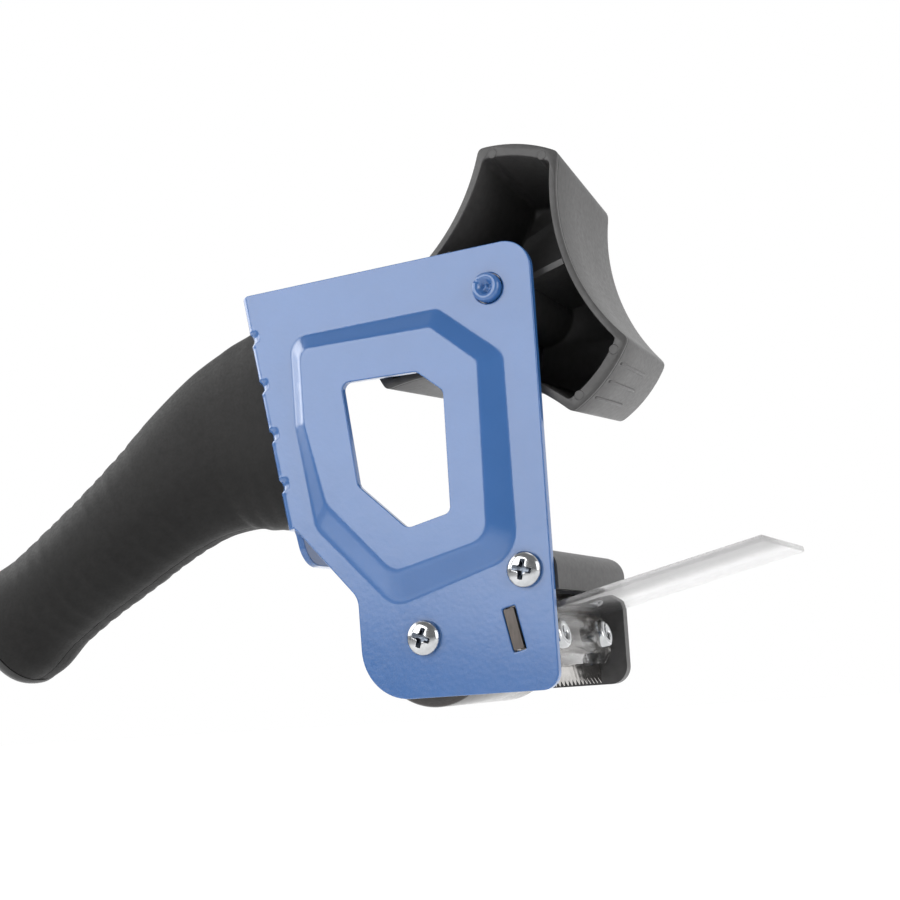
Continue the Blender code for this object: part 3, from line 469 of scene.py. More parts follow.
def soften(ob, width=0.25, segments=2, angle=32.0, apply=False):
    """Small radius on the sharp edges, with shading weighted to the flat faces."""
    if width:
        b = ob.modifiers.new("edge_radius", 'BEVEL')
        b.width = width / 1000.0
        b.segments = segments
        b.limit_method = 'ANGLE'
        b.angle_limit = math.radians(angle)
        b.use_clamp_overlap = True
        b.harden_normals = False
    w = ob.modifiers.new("face_weighted", 'WEIGHTED_NORMAL')
    w.keep_sharp = False
    w.weight = 100
    if apply:
        freeze(ob)
    return ob


def crease(ob, angle=30.0):
    ob.data.set_sharp_from_angle(angle=math.radians(angle))
    return ob


def dress(ob, body, slot, *nodes):
    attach(ob, body)
    if nodes:
        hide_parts(*nodes)
    return ob


# ---------------------------------------------------------------- side plate
REAR_TOP = Vector((-76.8, PLATE_TOP))
REAR_LOW = Vector((-65.2, -56.3))
rear_dir = (REAR_LOW - REAR_TOP).normalized()
rear_out = Vector((rear_dir.y, -rear_dir.x))
if rear_out.x > 0:
    rear_out = -rear_out
emboss_outer = [(-60.5, -2.8, 5), (-15.0, -2.8, 4), (2.4, -17.5, 5), (2.0, -69.5, 9),
                (-33.0, -79.0, 7), (-55.3, -56.0, 6), (-60.2, -28.0, 8)]
emboss_inner = [(-56.2, -7.6, 3), (-16.0, -8.2, 3), (-3.0, -19.5, 3), (-3.8, -65.4, 6),
                (-31.5, -71.8, 5), (-50.5, -51.5, 5), (-56.0, -28.0, 6)]
cut_out = [(-43.6, -18.9, 2), (-21.0, -19.4, 2.5), (-13.6, -25.6, 2.5), (-13.9, -57.3, 2),
           (-26.5, -60.0, 3), (-40.2, -47.2, 3)]
DENTS_Z = (-0.7, -14.9, -29.2, -43.5)


def tilted(n, t):
    return (HEAD_X + n * math.cos(TILT) + t * math.sin(TILT), HEAD_Z + n * math.sin(TILT) - t * math.cos(TILT))


def side_plate():
    bm = bmesh.new()
    a = REAR_TOP - rear_out * BEND_R
    a += rear_dir * ((PLATE_TOP - a.y) / rear_dir.y)
    b = REAR_LOW - rear_out * BEND_R
    rows = []                       # (top point, low point, y)
    for d in (2.4, 2.0, 1.6, 1.2, 0.8, 0.4):
        top = REAR_TOP - rear_out * (BEND_R + d)
        top += rear_dir * ((PLATE_TOP - top.y) / rear_dir.y)
        rows.append((top, b - rear_out * d, 0.0))
    bend_first = len(rows)
    steps = 10
    for k in range(steps + 1):
        ang = math.pi / 2 * k / steps
        off = rear_out * (BEND_R * math.sin(ang))
        rows.append((a + off + rear_dir * (0.9 * (1 - math.cos(ang))), b + off, BEND_R * (1 - math.cos(ang))))
    top90, low90, _ = rows[-1]
    for e in (0.4, 0.8, 1.3, 1.9):
        rows.append((top90 + rear_dir * (0.15 * e), low90.copy(), BEND_R + e))
    n = 160
    grid = []
    for top, low, y in rows:
        line = []
        for i in range(n + 1):
            p = top.lerp(low, i / n)
            line.append(bm.verts.new((p.x, y, p.y)))
        grid.append(line)
    for r0, r1 in zip(grid, grid[1:]):
        for i in range(n):
            bm.faces.new((r0[i], r0[i + 1], r1[i + 1], r1[i]))
    # flat face: the outline has an even ring of faces just inside it
    edges = []

    def fringe(outer, points, first_in, last_in, side_sign):
        """Ring of quads along an open outline; returns the inner line."""
        inner_pts = miter(points, RING, side_sign)
        line = [first_in] + [bm.verts.new(on(q)) for q in inner_pts] + [last_in]
        for j in range(len(outer) - 1):
            bm.faces.new((outer[j], outer[j + 1], line[j + 1], line[j]))
        return line

    RING = 0.42
    bend_row = grid[bend_first]
    t0, b0 = grid[0][0], bend_row[-1]
    shape = [(t0.co.x, t0.co.z)] + rounded([(a.x, PLATE_TOP), (12.3, PLATE_TOP, 8), (11.0, PLATE_BOTTOM, 4.5),
            (-43.6, PLATE_BOTTOM, 13.5), (-44.0, -76.5, 6), (b.x + 1.0, b.y - 0.95)], steps=16)[1:] + [(b0.co.x, b0.co.z)]
    shape = tidy(shape)

    def on(q):
        return (q[0], 0.0, q[1])

    outer = [t0] + [bm.verts.new(on(q)) for q in shape[1:-1]] + [b0]
    line = fringe(outer, shape, grid[0][1], grid[bend_first - 1][-1], 1)
    side = line + [grid[k][-1] for k in range(bend_first - 2, -1, -1)] + [grid[0][i] for i in range(n - 1, 1, -1)]
    edges += loop_edges(bm, side)

    def hole(pts, y=0.0):
        """Hole outline with a ring round it; returns the outer edges of the ring."""
        rim = loop_verts(bm, pts, y)
        grown = loop_verts(bm, miter_ring(pts, RING), y)
        bridge(bm, rim, grown)
        return [bm.edges.get((grown[i], grown[(i + 1) % len(grown)])) for i in range(len(grown))]

    eo, ei = rounded(emboss_outer, steps=12), rounded(emboss_inner, steps=12)
    w = 0.17

    def rise(f):
        if f < w:
            return max(f + w, 0.0) ** 2 / (4 * w)
        if f > 1 - w:
            return 1 - max(1 + w - f, 0.0) ** 2 / (4 * w)
        return f

    fs = [-w, -w * 0.5, 0.0, w * 0.5, w, 0.34, 0.5, 0.66, 1 - w, 1 - w * 0.5, 1.0, 1 + w * 0.5, 1 + w]
    rings = []
    for f in fs:
        pts = [(p[0] + (q[0] - p[0]) * f, p[1] + (q[1] - p[1]) * f) for p, q in zip(eo, ei)]
        rings.append(loop_verts(bm, pts, -EMBOSS_H * rise(f)))
    for r0, r1 in zip(rings, rings[1:]):
        bridge(bm, r0, r1)
    slot = [tilted(-1.75, -5.6), tilted(1.75, -5.6), tilted(1.75, 5.6), tilted(-1.75, 5.6)]
    for h in (circle(0, 0, 4.1, 48), circle(TIE_X, TIE_Z, 2.8, 32), circle(ROLLER_X, ROLLER_Z, 2.8, 32), rounded([(*p, 0.35) for p in slot], steps=4)):
        edges += hole(tidy(h, True))
    edges += [bm.edges.get((rings[0][i], rings[0][(i + 1) % len(rings[0])])) for i in range(len(rings[0]))]
    bmesh.ops.triangle_fill(bm, use_beauty=True, edges=edges)
    inner_edges = [bm.edges.get((rings[-1][i], rings[-1][(i + 1) % len(rings[-1])])) for i in range(len(rings[-1]))]
    inner_edges += hole(tidy(rounded(cut_out, steps=10), True), -EMBOSS_H)
    bmesh.ops.triangle_fill(bm, use_beauty=True, edges=inner_edges)
    # flange
    base = REAR_TOP

    def on_flange(s, y):
        p = base + rear_dir * s
        return bm.verts.new((p.x, y, p.y))

    last = grid[-1]
    length_low = (low90 - base).dot(rear_dir)
    drop = (FLANGE_DROP - base.y) / rear_dir.y
    s_top = (last[0].co.x - base.x) * rear_dir.x + (last[0].co.z - base.y) * rear_dir.y
    sy = [(length_low, last[-1].co.y), (length_low + 1.2, BEND_R + 2.3)]
    r = 6.0
    for k in range(13):
        t = math.pi / 2 * k / 12
        sy.append((drop - r + r * math.sin(t), BEND_R + 2.5 + r - r * math.cos(t)))
    for k in range(13):
        t = math.pi / 2 * k / 12
        sy.append((drop - r + r * math.cos(t), FLANGE_DEPTH - r + r * math.sin(t)))
    r = 5.0
    for k in range(13):
        t = math.pi / 2 * k / 12
        sy.append((s_top + r - r * math.sin(t), FLANGE_DEPTH - r + r * math.cos(t)))
    sy = tidy(sy + [(s_top, last[0].co.y)])

    def on(q):
        f = base + rear_dir * q[0]
        return (f.x, q[1], f.y)

    outer = [last[-1]] + [bm.verts.new(on(q)) for q in sy[1:-1]] + [last[0]]
    line = fringe(outer, sy, last[-2], last[1], -1)
    flange_edges = loop_edges(bm, line + [last[i] for i in range(2, n - 1)])
    for s in BOLT_S:
        rim, grown = ([on_flange(s + rr * math.cos(2 * math.pi * k / 32), HANDLE_Y + rr * math.sin(2 * math.pi * k / 32))
                       for k in range(32)] for rr in (2.8, 2.8 + RING))
        bridge(bm, rim, grown)
        flange_edges += loop_edges(bm, grown)
    bmesh.ops.triangle_fill(bm, use_beauty=True, edges=flange_edges)
    bmesh.ops.recalc_face_normals(bm, faces=bm.faces)
    probe = min(bm.faces, key=lambda f: (f.calc_center_median() - Vector((6, 0, -90))).length)
    if probe.normal.y > 0:
        bmesh.ops.reverse_faces(bm, faces=bm.faces)
    ob = to_object("side_plate_painted", bm, BLUE, clean=False)
    sol = ob.modifiers.new("sheet", 'SOLIDIFY')
    sol.thickness = PLATE_T / 1000.0
    sol.offset = -1.0
    sol.use_even_offset = True
    freeze(ob)
    rim = ob.modifiers.new("rim_radius", 'BEVEL')
    rim.width, rim.segments, rim.limit_method, rim.angle_limit = 0.00028, 3, 'ANGLE', math.radians(60)
    rim.use_clamp_overlap = False
    freeze(ob)
    # dents pressed across the bend
    mid = math.pi / 4 * BEND_R
    push = Vector((-rear_out.x * 0.7071, 0.7071, -rear_out.y * 0.7071))
    s_of = [(z - a.y) / rear_dir.y for z in DENTS_Z]
    for v in ob.data.vertices:
        p = v.co * 1000.0 - OFF
        q = Vector((p.x, p.z)) - a
        s, u, h = q.dot(rear_dir), q.dot(rear_out), BEND_R - p.y
        if u < 0:
            if h < 0:
                continue
            arc = u
        elif h < 0:
            arc = math.pi / 2 * BEND_R - h
        else:
            arc = math.atan2(u, h) * BEND_R
        k = 1 - ((arc - mid) / 3.35) ** 2
        if k <= 0:
            continue
        amount = 0.0
        for s0 in s_of:
            d = abs(s - s0) / 1.75
            if d < 1:
                amount += 0.85 * (1 - d * d) ** 0.75
            elif d < 1.5:
                amount -= 0.10 * math.sin((d - 1) * 2 * math.pi)
        if amount:
            v.co += push * (amount * k ** 0.8) / 1000.0
    for f in ob.data.polygons:
        f.use_smooth = True
    soften(ob, 0)
    return dress(ob, "frame", "blue_paint", "side_plate")


side_plate()


def on_rear(s, u):
    p = REAR_TOP + rear_dir * s + rear_out * u
    return (p.x, p.y)


def rear_matrix(s, u):
    x, z = on_rear(s, u)
    xa = Vector((rear_out.x, 0.0, rear_out.y))
    za = Vector((-rear_dir.x, 0.0, -rear_dir.y))
    ya = za.cross(xa)
    m = Matrix((xa, ya, za)).transposed().to_4x4()
    m.translation = Vector((x, HANDLE_Y, z))
    return m


HM = rear_matrix(HANDLE_S, 0.0)

# ---------------------------------------------------------------- hub stud
def stake(r, y, a):
    if r < 1.75 and y < -0.3:
        f = 1 - abs(r - 0.95) / 0.8
        y += 0.28 * max(f, 0) * math.cos(3 * (a - 0.6))
    if 2.1 < r < 3.86 and y < -1.4:
        d = (a - 2.45 + math.pi) % (2 * math.pi) - math.pi
        if abs(d) < 0.22:
            y += 0.22 * (1 - (d / 0.22) ** 2)
    return r, y


stud = turned([(0, -1.35), (0.45, -1.30), (0.75, -0.95), (1.1, -0.9), (1.45, -1.2), (1.85, -1.78), (2.15, -2.08), (2.5, -2.24),
               (2.85, -2.30), (3.2, -2.25), (3.52, -2.08), (3.75, -1.80), (3.87, -1.45), (3.9, -1.1), (3.9, -0.05), (3.9, 2.3),
               (6.0, 2.3), (6.2, 2.45), (6.2, 3.15), (6.05, 3.3), (4.0, 3.3), (4.0, 45.9), (3.8, 46.2), (4.0, 46.5), (3.8, 46.8),
               (4.0, 47.1), (3.8, 47.4), (4.0, 47.7), (3.8, 48.0), (4.0, 48.3), (3.8, 48.6), (4.0, 48.9), (3.8, 49.2), (4.0, 49.5),
               (3.8, 49.8), (4.0, 50.1), (3.8, 50.4), (4.0, 50.7), (3.8, 51.0), (4.0, 51.3), (3.8, 51.6), (4.0, 51.9),
               (4.0, 56.4), (3.3, 57.1), (0, 57.1)], 0, 0, 72, shape=stake)
ob = to_object("hub_stud_axle", stud, [BLUE, STEEL])
for p in ob.data.polygons:
    if (p.center.y * 1000.0 - OFF.y) > 2.0:
        p.material_index = 1
crease(ob, 50)
dress(ob, "frame", "blue_paint", "hub_axle")


# ---------------------------------------------------------------- tape hub
def lobe_profile(y, inner=False, extra=0.0, soft=0.95, nc=36, nw=84):
    """Three-lobed outline at depth y with softly rounded lobe corners, moved inwards by extra."""
    f = (y - HUB_Y0) / (HUB_Y1 - HUB_Y0)
    if inner:
        rm, rw, half = HUB_R_INNER - HUB_CROWN_DRAFT * f, HUB_R_WAIST_INNER - HUB_WAIST_DRAFT * f, HUB_HALF_INNER
    else:
        rm, rw, half = HUB_R_CROWN - HUB_CROWN_DRAFT * f, HUB_R_WAIST - HUB_WAIST_DRAFT * f, HUB_HALF
    rm, rw = rm - extra, rw - 0.9 * extra
    half = math.radians(half - 0.4 * extra)
    hw = math.pi / 3 - half
    wx, wy = rm * math.cos(hw), rm * math.sin(hw)
    wr = ((wx - rw) ** 2 + wy * wy) / (2 * (wx - rw))
    d = rw + wr
    wspan = math.atan2(wy, d - wx)
    pts = []
    for lobe in range(3):
        base = math.radians(HUB_ANGLE) + lobe * 2 * math.pi / 3
        for k in range(nc + 1):
            t = base + half * (2 * k / nc - 1)
            pts.append((rm * math.cos(t), rm * math.sin(t)))
        mid = base + math.pi / 3
        for k in range(1, nw):
            t = -wspan + 2 * wspan * k / nw
            x, y = d - wr * math.cos(t), wr * math.sin(t)
            pts.append((x * math.cos(mid) - y * math.sin(mid), x * math.sin(mid) + y * math.cos(mid)))
    step = 2 * half * rm / nc
    sigma = soft / step
    reach = int(3 * sigma) + 1
    w = [math.exp(-0.5 * (j / sigma) ** 2) for j in range(-reach, reach + 1)]
    total = sum(w)
    n = len(pts)
    return [(sum(wj * pts[(i + j) % n][0] for wj, j in zip(w, range(-reach, reach + 1))) / total,
             sum(wj * pts[(i + j) % n][1] for wj, j in zip(w, range(-reach, reach + 1))) / total) for i in range(n)]


def hub_crown(y):
    return HUB_R_CROWN - HUB_CROWN_DRAFT * (y - HUB_Y0) / (HUB_Y1 - HUB_Y0)


lp = lobe_profile
hub = to_object("tape_hub_moulding", loft([
    (lp(3.9, extra=0.42), 3.9), (lp(3.95, extra=0.24), 3.96), (lp(4.0, extra=0.10), 4.08), (lp(4.2, extra=0.02), 4.25), (lp(4.9), 4.9),
    (lp(5.0, extra=0.06), 5.0), (lp(5.06, extra=0.22), 5.08), (lp(5.2, extra=0.30), 5.2), (lp(5.35, extra=0.22), 5.34), (lp(5.45, extra=0.06), 5.44),
    (lp(5.6), 5.6), (lp(20.0), 20.0), (lp(34.0), 34.0), (lp(48.0), 48.0), (lp(48.9, extra=0.12), 48.9), (lp(49.6, extra=0.38), 49.6),
    (lp(50.1, extra=0.75), 50.1), (lp(50.4, extra=1.15), 50.4), (lp(50.5, extra=1.5), 50.5)]), GREY)
cut(hub, loft([(lp(1.9, True, -0.35, 0.6), 1.9), (lp(3.88, True, -0.3, 0.6), 3.88), (lp(4.0, True, -0.18, 0.6), 4.0), (lp(4.2, True, -0.05, 0.6), 4.2),
               (lp(4.5, True, 0.0, 0.6), 4.5), (lp(38.6, True, 0.0, 0.6), 38.6), (lp(39.5, True, 0.3, 0.7), 39.5), (lp(40.0, True, 1.0, 0.8), 40.0)]))
cut(hub, loft([(lp(42.5, True, 1.0, 0.8), 42.5), (lp(43.3, True, 0.3, 0.7), 43.3), (lp(44.5, True, 0.0, 0.6), 44.5),
               (lp(50.0, True, 0.0, 0.6), 50.0), (lp(50.6, True, -0.25, 0.6), 50.6), (lp(52.5, True, -0.3, 0.6), 52.5)]))
boss = [(8.0 - 0.35, 4.0), (8.0 - 0.1, 4.1), (8.0, 4.35), (8.0, 39.2), (8.4, 39.8), (9.0, 40.2), (9.0, 41.5), (8.0, 42.0), (8.0, 42.9),
        (7.7, 43.2), (0, 43.2), (0, 4.0)]
cut(hub, turned(boss, 0, 0, 72), 'UNION')
ribs = []
for k in range(3):
    ang = math.radians(HUB_ANGLE + 60 + 120 * k)
    rib = box(6.7, HUB_R_WAIST - HUB_WAIST_DRAFT - 0.6, 6.2, HUB_WEB_Y + 1.0, -0.8, 0.8)
    ribs.append(place(rib, Matrix.Rotation(-ang, 4, 'Y')))
cut(hub, merge(*ribs), 'UNION')
grips = []
for lobe in range(3):
    for off in (-7.8, 0.0, 7.8):
        ang = math.radians(HUB_ANGLE + 120 * lobe + off)
        crown = HUB_R_CROWN
        rings = []
        for y, h, hw in ((7.6, 0.0, 0.30), (7.9, 0.22, 0.38), (8.4, 0.36, 0.44), (32.6, 0.36, 0.44), (33.1, 0.22, 0.38), (33.4, 0.0, 0.30)):
            low = HUB_R_CROWN - hub_crown(y)
            top = crown + h - low
            rings.append(([(crown - 1.4 - low, -hw), (top - 0.24, -hw), (top - 0.07, -hw * 0.78), (top, -hw * 0.38), (top, hw * 0.38),
                           (top - 0.07, hw * 0.78), (top - 0.24, hw), (crown - 1.4 - low, hw)], y))
        grips.append(place(loft(rings), Matrix.Rotation(-ang, 4, 'Y')))
cut(hub, merge(*grips), 'UNION')
pads = []
for lobe in range(3):
    for off in (-11.0, 11.0):
        ang = math.radians(HUB_ANGLE + 120 * lobe + off)
        pads.append(turned([(0, 3.74), (1.15, 3.74), (1.3, 3.9), (1.3, 9.0), (0, 9.0)],
                           37.55 * math.cos(ang), 37.55 * math.sin(ang), 36))
cut(hub, merge(*pads), 'UNION')
cut(hub, turned([(5.6, 1.0), (5.6, 47.0), (0, 47.0), (0, 1.0)], 0, 0, 72, 0.02))
crease(hub, 42)
dress(hub, "hub", "grey_plastic", "tape_hub")


# ---------------------------------------------------------------- knob and spring
def knob_ring(f, inset=0.0):
    return [((12.4 + 0.7 * math.cos(8 * a)) * f * math.cos(a) - inset * math.cos(a), (12.4 + 0.7 * math.cos(8 * a)) * f * math.sin(a) - inset * math.sin(a))
            for a in [2 * math.pi * k / 128 for k in range(128)]]


knob = to_object("tension_knob_moulding", loft([
    (knob_ring(0.93), 53.6), (knob_ring(0.965), 53.75), (knob_ring(0.99), 54.15), (knob_ring(1.0), 54.7), (knob_ring(1.0), 61.4),
    (knob_ring(0.99), 62.1), (knob_ring(0.965), 62.75), (knob_ring(0.93), 63.2), (knob_ring(0.88), 63.4), (knob_ring(0.80), 63.4),
    (knob_ring(0.77), 63.3), (knob_ring(0.755), 63.0), (knob_ring(0.74), 62.75), (knob_ring(0.70), 62.65), (knob_ring(0.30), 62.65),
    (knob_ring(0.27), 62.75), (knob_ring(0.24), 62.95), (knob_ring(0.20), 63.05)]), BLACK)
cut(knob, turned([(7.9, 52.0), (7.9, 59.6), (0, 59.6), (0, 52.0)], 0, 0, 64))
crease(knob, 40)
dress(knob, "knob", "black_plastic", "tension_knob")


def spring(name, radius, wire, y0, y1, turns, mat, seg=40, wseg=12):
    bm = bmesh.new()
    n = int(turns * seg)
    rings = []
    for i in range(n + 1):
        f = i / n
        a = 2 * math.pi * turns * f
        end = 0.16
        if f < end:
            g = (f / end) * 0.08
        elif f > 1 - end:
            g = 0.92 + ((f - (1 - end)) / end) * 0.08
        else:
            g = 0.08 + (f - end) / (1 - 2 * end) * 0.84
        y = y0 + wire + (y1 - y0 - 2 * wire) * g
        ring = []
        for k in range(wseg):
            t = 2 * math.pi * k / wseg
            r = radius + wire * math.cos(t)
            ring.append(bm.verts.new((r * math.cos(a), y + wire * math.sin(t), r * math.sin(a))))
        rings.append(ring)
    for a, b in zip(rings, rings[1:]):
        bridge(bm, a, b)
    bm.faces.new(rings[0])
    bm.faces.new(rings[-1])
    return crease(to_object(name, bm, mat), 50)


dress(spring("brake_spring_coil", 6.2, 0.55, 46.3, 53.2, 4.0, STEEL), "frame", "bare_steel", "brake_spring")

# ---------------------------------------------------------------- roller
RX, RZ = ROLLER_X, ROLLER_Z
sleeve_profile = [(12.15, 4.2), (12.35, 4.0), (16.6, 4.0), (17.0, 4.12), (17.45, 4.5), (17.68, 4.85), (17.8, 5.3), (17.8, 48.7),
                  (17.68, 49.15), (17.45, 49.5), (17.0, 49.88), (16.6, 50.0), (12.35, 50.0), (12.15, 49.8)]
ob = crease(to_object("roller_sleeve_rubber", turned(sleeve_profile, RX, RZ, 128), RUBBER), 40)
dress(ob, "roller", "roller_rubber", "roller_sleeve")
core_profile = [(5.3, 4.8), (5.5, 4.6), (6.6, 4.6), (6.8, 4.8), (6.8, 7.0), (11.0, 7.0), (11.0, 4.8), (11.2, 4.6), (11.9, 4.6), (12.0, 4.7),
                (12.0, 49.3), (11.9, 49.4), (11.2, 49.4), (11.0, 49.2), (11.0, 47.0), (6.8, 47.0), (6.8, 49.2), (6.6, 49.4),
                (5.5, 49.4), (5.3, 49.2)]
core = to_object("roller_core_moulding", turned(core_profile, RX, RZ, 96), BLACK)
spokes = []
for k in range(6):
    ang = math.radians(60 * k + 12)
    for y0, y1 in ((5.0, 8.0), (46.0, 49.0)):
        s = box(6.2, 11.6, y0, y1, -0.6, 0.6)
        spokes.append(place(s, Matrix.Translation((RX, 0, RZ)) @ Matrix.Rotation(-ang, 4, 'Y')))
cut(core, merge(*spokes), 'UNION')
crease(core, 35)
dress(core, "roller", "black_plastic", "roller_core")


def pan_screw(name, node, cx, cz, face_y, length, side=-1, turn=18.0, body="frame"):
    """Cross-recessed pan head with a domed top and a tapered cross."""
    s = side
    head_r, head_h, shank = 4.6, 2.6, 1.5
    prof = []
    n = 12
    for k in range(n + 1):
        a = math.pi / 2 * k / n
        r = head_r * (math.sin(a) ** 0.82)
        h = head_h * (0.30 + 0.70 * math.cos(a) ** 1.15)
        prof.append((r if k else 0.0, face_y + s * h))
    prof += [(head_r, face_y + s * 0.35), (head_r - 0.08, face_y + s * 0.12), (head_r - 0.25, face_y + s * 0.02), (shank, face_y + s * 0.02),
             (shank, face_y - s * (length - 0.6)), (shank - 0.5, face_y - s * length), (0, face_y - s * length)]
    ob = to_object(name, turned(prof, cx, cz, 96), ZINC)
    w1, l1, w0, l0 = 0.72, 2.72, 0.30, 0.75
    steps = ((1.12, head_h + 0.5), (1.0, head_h - 0.12), (0.30, 0.95))
    rings = []
    for f, h in steps:
        w, l = w0 + (w1 - w0) * f, l0 + (l1 - l0) * f
        c = w + 0.28
        pts = [(l, -w), (l + 0.12, 0), (l, w), (c, w), (w, c), (w, l), (0, l + 0.12), (-w, l), (-w, c), (-c, w), (-l, w), (-l - 0.12, 0), (-l, -w),
               (-c, -w), (-w, -c), (-w, -l), (0, -l - 0.12), (w, -l), (w, -c), (c, -w)]
        rings.append((pts, face_y + s * h))
    tool = loft(rings)
    place(tool, Matrix.Translation((cx, 0, cz)) @ Matrix.Rotation(math.radians(turn), 4, 'Y'))
    cut(ob, tool)
    b = ob.modifiers.new("edge_radius", 'BEVEL')
    b.width, b.segments, b.limit_method, b.angle_limit = 0.00010, 2, 'ANGLE', math.radians(38)
    freeze(ob)
    # faces inside the cross recess take the darker zinc, painted shade
    ob.data.materials.append(RECESS_PAINTED_SHADE)
    for p in ob.data.polygons:
        p.use_smooth = True
        c = p.center * 1000.0 - OFF
        d = math.hypot(c.x - cx, c.z - cz)
        dome = head_h * (0.30 + 0.70 * max(0.0, math.cos(math.asin(min(1.0, (d / head_r) ** (1 / 0.82))))) ** 1.15)
        if d < 3.1 and 0.6 < s * (c.y - face_y) < dome - 0.16:
            p.material_index = 1
    crease(ob, 40)
    return dress(ob, body, "zinc_steel", node)


pan_screw("roller_screw_near_head", "roller_screw_near", RX, RZ, -0.1, 8.0, turn=22)
pan_screw("roller_screw_far_head", "roller_screw_far", RX, RZ, WALL_Y1 + 0.1, 8.0, side=1, turn=30)
pan_screw("cover_screw_near_head", "cover_screw_near", TIE_X, TIE_Z, -0.1, 8.0, turn=14)
pan_screw("cover_screw_far_head", "cover_screw_far", TIE_X, TIE_Z, WALL_Y1 + 0.1, 8.0, side=1, turn=-12)

# ---------------------------------------------------------------- head housing
wall_outline = rounded([(HEAD_FRONT, HEAD_TOP, 5.5), (11.4, PLATE_BOTTOM, 5.0), (-43.0, PLATE_BOTTOM, 14.0),
                        (-43.0, -73.0, 8), (-30.0, HEAD_TOP, 8)], steps=14)
slot_far = [tilted(-1.2, -5.2), tilted(1.2, -5.2), tilted(1.2, 5.2), tilted(-1.2, 5.2)]
housing = to_object("head_housing_moulding", prism(wall_outline, WALL_Y0, WALL_Y1,
                    [circle(TIE_X, TIE_Z, 2.8, 40), circle(RX, RZ, 2.8, 40), slot_far]), GREY)
deck_path = rounded([(DECK_BACK, HEAD_TOP), (HEAD_FRONT, HEAD_TOP, 5.5), (HEAD_FRONT - 0.05, -79.0)], steps=14)
inner = []
for i, p in enumerate(deck_path):
    a = Vector(deck_path[max(i - 1, 0)])
    b = Vector(deck_path[min(i + 1, len(deck_path) - 1)])
    d = (b - a).normalized()
    nrm = Vector((d.y, -d.x))
    inner.append((p[0] + nrm.x * 2.0, p[1] + nrm.y * 2.0))
cut(housing, prism(deck_path + inner[::-1], PLATE_T + 0.3, WALL_Y0 + 0.6), 'UNION')
# raised boss round the cover screw on the outer side
cut(housing, merge(turned([(5.6, 53.2), (5.6, 53.62), (5.5, 53.66), (2.9, 53.66), (2.9, 53.2)], TIE_X, TIE_Z, 64)), 'UNION')
soften(housing, 0.45, 3, 40, apply=True)
for p in housing.data.polygons:
    p.use_smooth = True
dress(housing, "frame", "grey_plastic", "head_housing")


# ---------------------------------------------------------------- bracket, blade, flap
def leaning(outline_nt, y0, y1, holes=()):
    return prism([tilted(n, t) for n, t in outline_nt], y0, y1, holes)


def across_matrix(y):
    nx, nz = math.cos(TILT), math.sin(TILT)
    normal = Vector((nx, 0.0, nz))
    down = Vector((math.sin(TILT), 0.0, -math.cos(TILT)))
    m = Matrix((down, normal, down.cross(normal))).transposed().to_4x4()
    x, z = tilted(0.0, SCREW_T)
    m.translation = Vector((x, y, z))
    return m


def across(radius, y, n0, n1, n=48):
    return place(turned([(0, n0), (radius, n0), (radius, n1), (0, n1)], 0, 0, n), across_matrix(y))


bracket = to_object("blade_bracket_steel", leaning([(-0.8, -10.0), (0.8, -10.0), (0.8, 12.5), (-0.8, 12.5)], 2.6, 49.9), [STEEL, TAB_STEEL_PAINTED_SHADE])
cut(bracket, merge(leaning(rounded([(-1.4, -5.2, 0.3), (1.4, -5.2, 0.3), (1.4, 5.2, 0.3), (-1.4, 5.2, 0.3)], steps=3), -0.4, 3.0),
                   leaning([(-0.8, -4.8), (0.8, -4.8), (0.8, 4.8), (-0.8, 4.8)], 49.5, 53.0)), 'UNION')
for y in SCREW_YS:
    cut(bracket, across(2.0, y, -3.0, 3.0))
soften(bracket, 0.15, 2, 40, apply=True)
# the tab through the plate slot takes the darker steel, painted shade
for p in bracket.data.polygons:
    if p.center.y * 1000.0 - OFF.y < 1.9:
        p.material_index = 1
dress(bracket, "frame", "bare_steel", "blade_bracket")

# serrated blade: sixteen teeth, ground at a slant on the front face
TEETH, TIP_T, ROOT_T = 16, 15.5, 13.9
y0, y1 = 4.4, 49.4
pitch = (y1 - y0) / TEETH
GRIND_T = 12.6
bm = bmesh.new()


def nt(n, t, y):
    x, z = tilted(n, t)
    return bm.verts.new((x, y, z))


top_b, top_f = [], []
mid_b, mid_f, tip_b, tip_f = [], [], [], []
cols = []
for k in range(TEETH):
    cols.append((y1 - k * pitch, ROOT_T, 0.0))
    cols.append((y1 - (k + 0.5) * pitch, TIP_T, 1.0))
cols.append((y0, ROOT_T, 0.0))
for yy, t, f in cols:
    slant = 0.55
    yt = min(max(yy + (slant if 0.2 < abs(yy - y0) and 0.2 < abs(yy - y1) else 0.0), y0), y1)
    top_b.append(nt(1.1, -1.6, yy))
    top_f.append(nt(1.6, -1.6, yy))
    mid_b.append(nt(1.1, GRIND_T, yy))
    mid_f.append(nt(1.6, GRIND_T - 0.9 * f, yt))
    tip_b.append(nt(1.1, t, yy))
    tip_f.append(nt(1.16 + 0.14 * f, t, yy))
m = len(cols)
for i in range(m - 1):
    bm.faces.new((top_b[i], top_b[i + 1], mid_b[i + 1], mid_b[i]))
    bm.faces.new((mid_b[i], mid_b[i + 1], tip_b[i + 1], tip_b[i]))
    bm.faces.new((tip_b[i], tip_b[i + 1], tip_f[i + 1], tip_f[i]))
    bm.faces.new((tip_f[i], tip_f[i + 1], mid_f[i + 1], mid_f[i]))
    bm.faces.new((mid_f[i], mid_f[i + 1], top_f[i + 1], top_f[i]))
    bm.faces.new((top_f[i], top_f[i + 1], top_b[i + 1], top_b[i]))
for i in (0, m - 1):
    bm.faces.new((top_b[i], mid_b[i], tip_b[i], tip_f[i], mid_f[i], top_f[i]))
